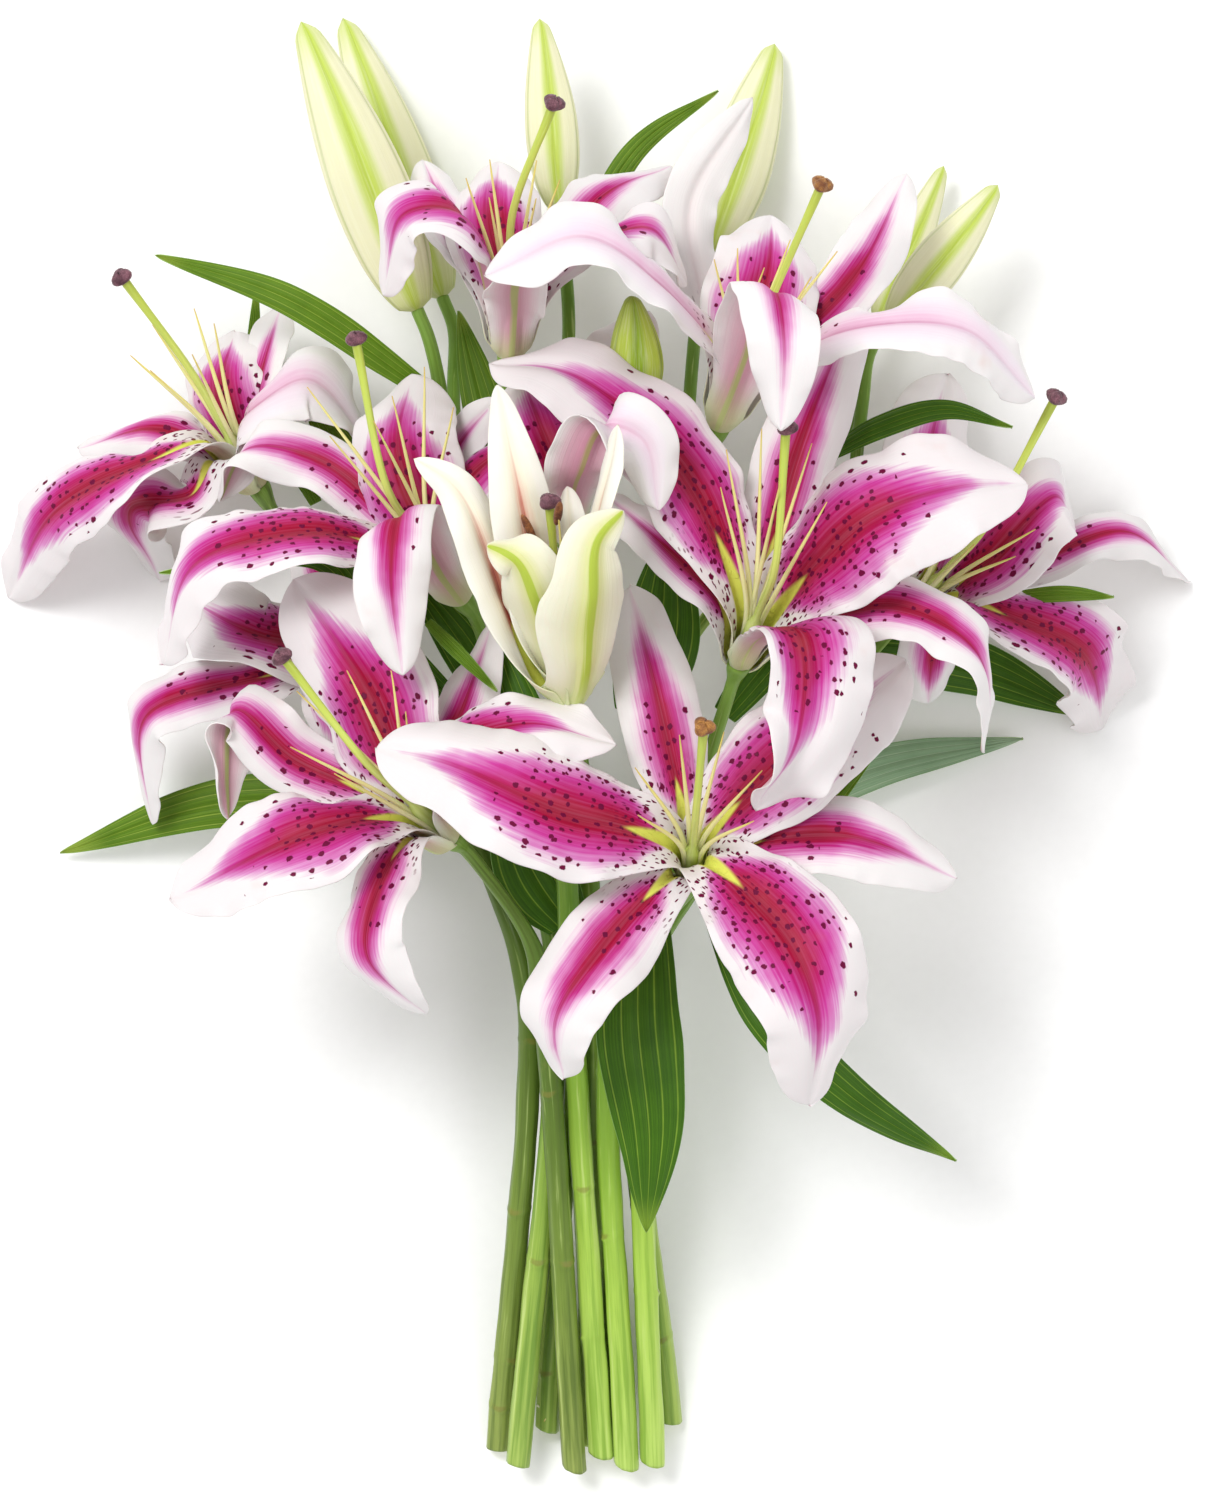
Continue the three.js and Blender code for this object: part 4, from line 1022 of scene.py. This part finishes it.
# Three-lobed knob with a cleft from its crown between each two lobes
def makeStigma(name, place, way, paintName):
    bpy.ops.mesh.primitive_uv_sphere_add(segments=48, ring_count=28, radius=1)
    piece = bpy.context.object
    piece.name = piece.data.name = name
    for vertex in piece.data.vertices:
        x, y, z = vertex.co
        angle = math.atan2(y, x)
        outward = math.hypot(x, y)
        lobes = 1 + 0.17 * math.cos(3 * angle) * outward
        cleft = 0.34 * math.exp(-((math.cos(1.5 * angle) / 0.22) ** 2)) * max(0, z + 0.25)
        grain = 0.05 * noise.noise(vertex.co * 6)
        vertex.co = Vector((x * lobes, y * lobes, z * 0.72 - cleft * (1 - 0.4 * outward))) * (1 + grain)
    turn = Vector((0, 0, 1)).rotation_difference(way).to_matrix().to_4x4()
    piece.data.transform(Matrix.Translation(place) @ turn @ Matrix.Scale(pistilSizes["stigmaRadius"], 4))
    paint(piece, paintName)
    return piece


# Two joined pollen sacs, hung crosswise on the filament's tip
def makeAnther(name, place, way):
    bpy.ops.mesh.primitive_uv_sphere_add(segments=24, ring_count=20, radius=1)
    piece = bpy.context.object
    piece.name = piece.data.name = name
    for vertex in piece.data.vertices:
        x, y, z = vertex.co
        groove = 0.35 * math.exp(-((x / 0.25) ** 2)) * (1 if y > 0 else 0.4)
        vertex.co = (
            x * pistilSizes["antherWidth"] / 2,
            y * (1 - groove) * pistilSizes["antherWidth"] / 2.4,
            z * pistilSizes["antherLength"] / 2,
        )
    turn = Vector((0, 0, 1)).rotation_difference(way).to_matrix().to_4x4()
    piece.data.transform(Matrix.Translation(place) @ turn)
    paint(piece, "anther")
    return piece


def makePistil(flower):
    name = flower["name"]
    node = name + "_pistil_and_stamens"
    sizes = pistilSizes
    seat = at(flower["seat"])
    facing = Vector(flower["facing"]).normalized()
    foot = seat + facing * tepalSizes["clearance"]
    stigma = at(flower["stigma"])
    reach = (stigma - seat).length
    neck = seat + facing * reach * 0.3
    bend = seat + facing * reach * 0.55

    def styleRadius(u):
        ovary = sizes["ovaryRadius"] * (1 - smooth(u, 0.2, 0.3)) * (0.8 + 0.2 * smooth(u, 0, 0.1))
        top = sizes["styleRadius"] + (sizes["styleTopRadius"] - sizes["styleRadius"]) * smooth(u, 0.8, 1)
        return max(ovary, top)

    style = layRod(name + "_style", [foot, neck, bend, stigma], styleRadius, 18, 40)
    paint(style, "style")
    finishPiece(style, node)
    way = (stigma - bend).normalized()
    stigmaPlace = stigma + way * sizes["stigmaRadius"] * 0.35
    knob = makeStigma(name + "_stigma", stigmaPlace, way, flower.get("stigmaPaint", "plumStigma"))
    finishPiece(knob, node)

    filaments = []
    anthers = []
    for i, end in enumerate(antherPlaces(flower)):
        outward = end - seat
        outward = (outward - facing * outward.dot(facing)).normalized()
        start = foot + facing * sizes["filamentFoot"] + outward * sizes["filamentRing"]
        middle = seat + facing * sizes["filamentLength"] * 0.45 + outward * sizes["filamentBow"]

        def filamentRadius(u):
            return sizes["filamentRadius"] + (sizes["filamentTip"] - sizes["filamentRadius"]) * u**2.2

        filaments.append(layRod(f"{name}_filament_{i}", [start, middle, end], filamentRadius, 10, 22))
        if flower.get("isOpening"):
            tilt = Quaternion(facing.cross(outward), math.radians(18 + 9 * i)) @ facing
            anthers.append(makeAnther(f"{name}_anther_{i}", end, tilt))
    bundle = joinPieces(name + "_filaments", filaments)
    paint(bundle, "filament")
    finishPiece(bundle, node)
    if anthers:
        finishPiece(joinPieces(name + "_anthers", anthers), node)


def makeWhorl(flower, isInner, node, firstSeed):
    kind = "inner" if isInner else "outer"
    for i, tepal in enumerate(flower[kind]):
        piece = layTepal(f"{flower['name']}_{kind}_tepal_{i + 1}", flower, tepal, isInner, firstSeed + i)
        finishPiece(piece, node)


for number, flower in enumerate((*lilies, openingLily)):
    makeWhorl(flower, True, flower["name"] + "_inner_tepals", number * 10 + 1)
    makeWhorl(flower, False, flower["name"] + "_outer_tepals", number * 10 + 5)
    makePistil(flower)
for number, flower in enumerate(hiddenLilies):
    makeWhorl(flower, True, flower["name"] + "_tepals", number * 10 + 201)
    makeWhorl(flower, False, flower["name"] + "_tepals", number * 10 + 205)
print("flowers made")

# Buds: three outer tepals meet at seams, each with a double keel
budSizes = {"footShare": 0.2, "keel": 0.06, "seam": 0.075, "lobes": 0.05,
            "roll": 0.5, "twist": 0.25, "sides": 84, "rows": 56}


def makeBud(bud, seed):
    foot, tip = at(bud["seat"]), at(bud["tip"])
    along = (tip - foot).normalized()
    reach = (tip - foot).length
    side = Vector((0, 0, 1)).cross(along).normalized()
    other = along.cross(side)

    def lay(x, u):
        angle = math.pi * x
        belly = math.sin(math.pi * min(1, u**0.75 * 0.97 + 0.03)) ** 0.85
        bulge = budSizes["footShare"] + (1 - budSizes["footShare"]) * belly
        bulge *= smooth(1 - u, 0, 0.05) ** 0.5 * smooth(u, -0.02, 0.02)
        third = 2 * math.pi / 3
        fromKeel = abs((angle + third / 2) % third - third / 2)
        fromSeam = third / 2 - fromKeel
        shape = 1 + budSizes["lobes"] * math.cos(3 * angle)
        shape += budSizes["keel"] * math.exp(-((fromKeel - 0.13) / 0.09) ** 2)
        shape -= budSizes["seam"] * math.exp(-((fromSeam / 0.06) ** 2)) * smooth(u, 0.03, 0.2)
        shape += 0.02 * noise.noise(Vector((math.cos(angle) * 2, math.sin(angle) * 2, u * 5 + seed)))
        radius = bud["wide"] / 2 * mm * bulge * shape
        turned = angle + budSizes["roll"] + budSizes["twist"] * u
        spot = foot + along * reach * u
        spot += (side * math.cos(turned) + other * math.sin(turned)) * radius
        return spot, ((x + 1) / 2, u), (radius * angle, u * reach), (0, 0)

    piece = layGrid(bud["name"] + "_closed_tepals", budSizes["sides"], budSizes["rows"], lay)
    paint(piece, "greenBud" if bud.get("isYoung") else "bud")
    finishPiece(piece, bud["name"])


for number, bud in enumerate(buds):
    makeBud(bud, number)
print("buds made")

# Stems: ribbed, with a ridge and a dried patch wherever a leaf was stripped, at [distance from the
# cut end in millimetres, angle in degrees], where -90 is the side that faces up
stemSizes = {
    "radius": 4.3 * mm,
    "pitch": 9.2 * mm,
    "topShare": 0.8,
    "waist": (165, 50),
    "pedicelRadius": 2.3 * mm,
    "pedicelNeck": 12 * mm,
    "receptacleRadius": 4.2 * mm,
    "ridge": 0.7 * mm,
    "ridgeWidth": 0.9 * mm,
    "slantReach": 8 * mm,
    "ribs": 0.09 * mm,
    "swell": 0.35 * mm,
    "swellLength": 16 * mm,
    "scarSag": 1.6 * mm,
    "scarShift": 0.9 * mm,
    "scarWidth": 1.1 * mm,
    "slant": 0.45,
    "sides": 32,
    "rowSpacing": 1 * mm,
}
stemLooks = {
    "stem_1": {"skin": "oliveStem", "joints": [[15, -100], [33, -50], [88, -120], [150, -60]]},
    "stem_2": {"skin": "stem", "joints": [[74, -95], [128, 40]]},
    "stem_3": {"skin": "stem", "joints": [[20, -110], [60, -30], [101, -130]]},
    "stem_4": {"skin": "oliveStem", "joints": [[76, -60], [139, -110]]},
    "stem_5": {"skin": "brightStem", "joints": [[43, 175], [98, -90], [150, -20]]},
    "stem_6": {"skin": "brightStem", "joints": [[84, -150], [143, -70]]},
    "stem_7": {"skin": "brightStem", "joints": [[62, 10], [118, -120]]},
    "stem_8": {"skin": "stem", "joints": [[30, -90], [79, -40], [131, -140]]},
    "stem_9": {"skin": "stem", "joints": [[34, 160], [66, -60], [112, -100]]},
    "stem_10": {"skin": "stem", "joints": [[52, -80], [97, -120]]},
}


def arrival(name):
    flower = next((one for one in (*lilies, openingLily, *hiddenLilies) if one["name"] == name), None)
    bud = next((one for one in buds if one["name"] == name), None)
    seat = at((flower or bud)["seat"])
    facing = Vector(flower["facing"]).normalized() if flower else (at(bud["tip"]) - seat).normalized()
    flare = stemSizes["receptacleRadius"] if flower else stemSizes["pedicelRadius"]
    return seat - facing * stemSizes["pedicelNeck"], seat - facing * tepalSizes["clearance"], flare


def makeStem(stem, seed):
    sizes = stemSizes
    look = stemLooks[stem["name"]]
    lane, y, layer = stem["cut"]
    cut = origin + Vector((lane * sizes["pitch"], y * mm, sizes["radius"] + layer * sizes["pitch"]))
    waist = at((0, *sizes["waist"])) + Vector((stem["waist"][0], 0, stem["waist"][1])) * sizes["pitch"]
    before, end, flare = arrival(stem["to"])
    points = [cut, waist, *[at(place) for place in stem["up"]], before, end]

    def radiusAt(u):
        body = sizes["radius"] * (1 - (1 - sizes["topShare"]) * u)
        neck = body + (sizes["pedicelRadius"] - body) * smooth(u, 0.72, 0.86)
        return neck + (flare - neck) * smooth(u, 0.96, 1)

    def surfaceAt(distance, angle):
        rise = sizes["ribs"] * math.sin(9 * angle + 2 * math.sin(distance * 40 + seed))
        swellAt = Vector((distance / sizes["swellLength"], math.cos(angle) * 1.4, seed))
        rise += sizes["swell"] * noise.noise(swellAt)
        mark = 0
        for place, turn in look["joints"]:
            apart = (angle - math.radians(turn) + math.pi) % (2 * math.pi) - math.pi
            near = math.exp(-((apart / 0.8) ** 2))
            sag = distance - place * mm - sizes["scarSag"] * (1 - near)
            rise += sizes["ridge"] * (0.3 + 0.7 * near) * math.exp(-((sag / sizes["ridgeWidth"]) ** 2))
            fromScar = (sag - sizes["scarShift"]) / sizes["scarWidth"]
            mark = max(mark, near * math.exp(-(fromScar**2)))
        return rise, mark

    length, walk = curveThrough(points)
    rows = round(length / sizes["rowSpacing"])
    slant = sizes["slant"] * math.sin(seed * 5)
    rods = [layRod(stem["name"] + "_shoot", points, radiusAt, sizes["sides"], rows, True, surfaceAt, slant)]
    for branch in stem["branches"]:
        before, end, flare = arrival(branch["to"])
        start, _ = walk(branch["from"])

        def branchRadius(u):
            thin = sizes["pedicelRadius"]
            return thin * (1 + 0.35 * (1 - smooth(u, 0, 0.12))) + (flare - thin) * smooth(u, 0.9, 1)

        way = [start, *[at(place) for place in branch["via"]], before, end]
        rods.append(layRod(stem["name"] + "_branch", way, branchRadius, 18, 60))
    piece = joinPieces(stem["name"] + "_shoot", rods)
    paint(piece, look["skin"])
    finishPiece(piece, stem["name"])


for number, stem in enumerate(stems):
    makeStem(stem, number * 3.7)

# Fine root hairs that had begun to grow from the lowest joints
rootHairs = [
    {"stem": "stem_1", "path": [[-27, 40, 8.2], [-24.5, 38, 9], [-25.5, 34.5, 9.4]]},
    {"stem": "stem_3", "path": [[-15, 21, 8.4], [-12, 19.5, 9], [-9.5, 21, 9.2]]},
    {"stem": "stem_3", "path": [[-13, 20, 8.5], [-11.5, 17.5, 9], [-12.5, 15.5, 9.2]]},
    {"stem": "stem_8", "path": [[29, 45.5, 12], [26.4, 45, 14], [24.5, 46, 15.4]]},
]
for number, hair in enumerate(rootHairs):
    way = [at(place) for place in hair["path"]]
    piece = layRod(f"root_hair_{number + 1}", way, lambda u: (0.42 - 0.2 * u) * mm, 8, 10)
    paint(piece, "filament")
    finishPiece(piece, hair["stem"])
print("stems made")

# Leaves
leafSizes = {
    "thickness": 0.75 * mm,
    "rimShare": 0.5,
    "footShare": 0.22,
    "arch": 0.18,
    "crease": 0.1,
    "wave": 1.1 * mm,
    "waveLength": 18 * mm,
    "unevenWidth": 0.05,
    "unevenLength": 20 * mm,
    "rib": 0.16 * mm,
    "ribs": 2.5,
    "skin": "leaf",
    "columns": 18,
    "rows": 46,
}
leafLooks = {
    "leaf_hanging": {"skin": "deepLeaf", "crease": 0.05, "wave": 0.8 * mm},
    "leaf_hanging_right": {"skin": "deepLeaf", "arch": 0.3},
    "leaf_low_left": {"skin": "leaf", "crease": 0.16},
    "leaf_low_right": {"skin": "greyLeaf"},
    "leaf_right": {"skin": "deepLeaf"},
    "leaf_right_arched": {"skin": "deepLeaf", "arch": 0.35},
    "leaf_bent_left": {"skin": "deepLeaf"},
    "leaf_low_middle": {"skin": "deepLeaf"},
    "leaf_middle": {"skin": "deepLeaf"},
}
# Slips too small for a solid of their own; each goes with the stem that it grows from
smallLeaves = [
    {"name": "leaf_slip_bright", "stem": "stem_3", "wide": 5,
     "path": [[-52, 294, 112], [-42, 284, 118], [-28, 270, 120]]},
    {"name": "leaf_slip_thin", "stem": "stem_8", "wide": 6,
     "path": [[150, 303, 60], [168, 304, 62], [185, 303, 56]]},
    {"name": "leaf_slip_left", "stem": "stem_2", "wide": 17, "skin": "deepLeaf",
     "path": [[-26, 262, 46], [-42, 288, 52], [-60, 312, 44]]},
    {"name": "leaf_slip_middle", "stem": "stem_5", "wide": 18, "skin": "deepLeaf",
     "path": [[-8, 236, 92], [-20, 262, 98], [-30, 292, 92]]},
    {"name": "leaf_slip_right", "stem": "stem_7", "wide": 17, "skin": "deepLeaf",
     "path": [[50, 262, 62], [84, 306, 68], [104, 340, 60]]},
    {"name": "leaf_slip_dark", "stem": "stem_7", "wide": 11,
     "path": [[80, 226, 104], [90, 240, 110], [102, 251, 108]]},
]


def makeLeaf(leaf, node, seed):
    look = {**leafSizes, **leafLooks.get(leaf["name"], {})}
    points = [at(place) for place in leaf["path"]]
    length, walk = curveThrough(points)
    side = Vector((0, 0, 1)).cross(points[-1] - points[0]).normalized()

    def lay(x, u):
        v = -x
        far = abs(v)
        place, along = walk(u)
        across = (side - along * side.dot(along)).normalized()
        upward = along.cross(across)
        belly = math.sin(math.pi * (0.12 + 0.88 * u)) ** 0.9
        share = look["footShare"] * (1 - u) ** 0.5 + (1 - look["footShare"]) * belly
        half = leaf["wide"] / 2 * mm * share
        uneven = noise.noise(Vector((u * length / look["unevenLength"], x * 2, seed)))
        half *= 1 + look["unevenWidth"] * uneven
        lift = half * (look["crease"] * (1 - math.exp(-((far / 0.14) ** 2))) - look["arch"] * far**2)
        ribs = look["rib"] * math.cos(far * look["ribs"] * 2 * math.pi)
        wave = noise.noise(Vector((u * length / look["waveLength"], 4 if x > 0 else 9, seed)))
        lift += look["wave"] * wave * far**2 * smooth(u, 0, 0.2) - ribs
        spot = place + across * half * v + upward * lift
        return spot, ((1 - v) / 2, u), (half * v + 0.05 * seed, u * length), (0, 0)

    piece = layGrid(leaf["name"] + "_blade", look["columns"], look["rows"], lay)
    paint(piece, leaf.get("skin", look["skin"]), "leafBack")
    thickenBlade(piece, look["thickness"], look["rimShare"])
    finishPiece(piece, node)


for number, leaf in enumerate(leaves):
    makeLeaf(leaf, leaf["name"], number * 2.3)
for number, leaf in enumerate(smallLeaves):
    makeLeaf(leaf, leaf["stem"], 50 + number * 2.3)
print("leaves made")

# Table top, light and camera
stageSizes = {
    "tableSize": 60,
    "lookAt": (0.0052, -0.0023),
    "height": 5,
    "viewHeight": 0.525,
}
bpy.ops.mesh.primitive_plane_add(size=stageSizes["tableSize"])
table = bpy.context.object
table.name = table.data.name = "table_top"
paper, add = startMaterial("white_paper_roll")
place = add("TexCoord", output="Object")
fibres = add("TexNoise", {"Vector": place, "Scale": 1 / (4 * mm), "Detail": 3})
tone = add("MixRGB", (fibres, tint("#f6f6f6"), tint("#fbfbfb")))
endMaterial(add, {"Base Color": tone, "Roughness": 0.9}, (fibres, 0.05 * mm, 0.1))
table.data.materials.append(paper)
table.select_set(False)

lights = [
    {"name": "key", "place": (-1.6, 1.7, 4.2), "size": 1.6, "power": 135},
    {"name": "fill", "place": (2.2, -0.8, 3.2), "size": 2.2, "power": 24},
]
for lamp in lights:
    bpy.ops.object.light_add(type="AREA", location=lamp["place"])
    light = bpy.context.object
    light.name = lamp["name"]
    light.data.size = lamp["size"]
    light.data.energy = lamp["power"]
    light.rotation_euler = (-Vector(lamp["place"])).to_track_quat("-Z", "Y").to_euler()
world = bpy.data.worlds.new("white_studio")
world.use_nodes = True
world.node_tree.nodes["Background"].inputs["Color"].default_value = (1, 1, 1, 1)
world.node_tree.nodes["Background"].inputs["Strength"].default_value = 0.8
bpy.context.scene.world = world
bpy.context.scene.view_settings.view_transform = "Standard"

bpy.ops.object.camera_add(location=(*stageSizes["lookAt"], stageSizes["height"]), rotation=(0, 0, 0))
camera = bpy.context.object
camera.data.sensor_fit = "VERTICAL"
camera.data.sensor_height = 24
camera.data.lens = 24 * stageSizes["height"] / stageSizes["viewHeight"]
camera.data.clip_end = 100
bpy.context.scene.camera = camera
print("stage made")
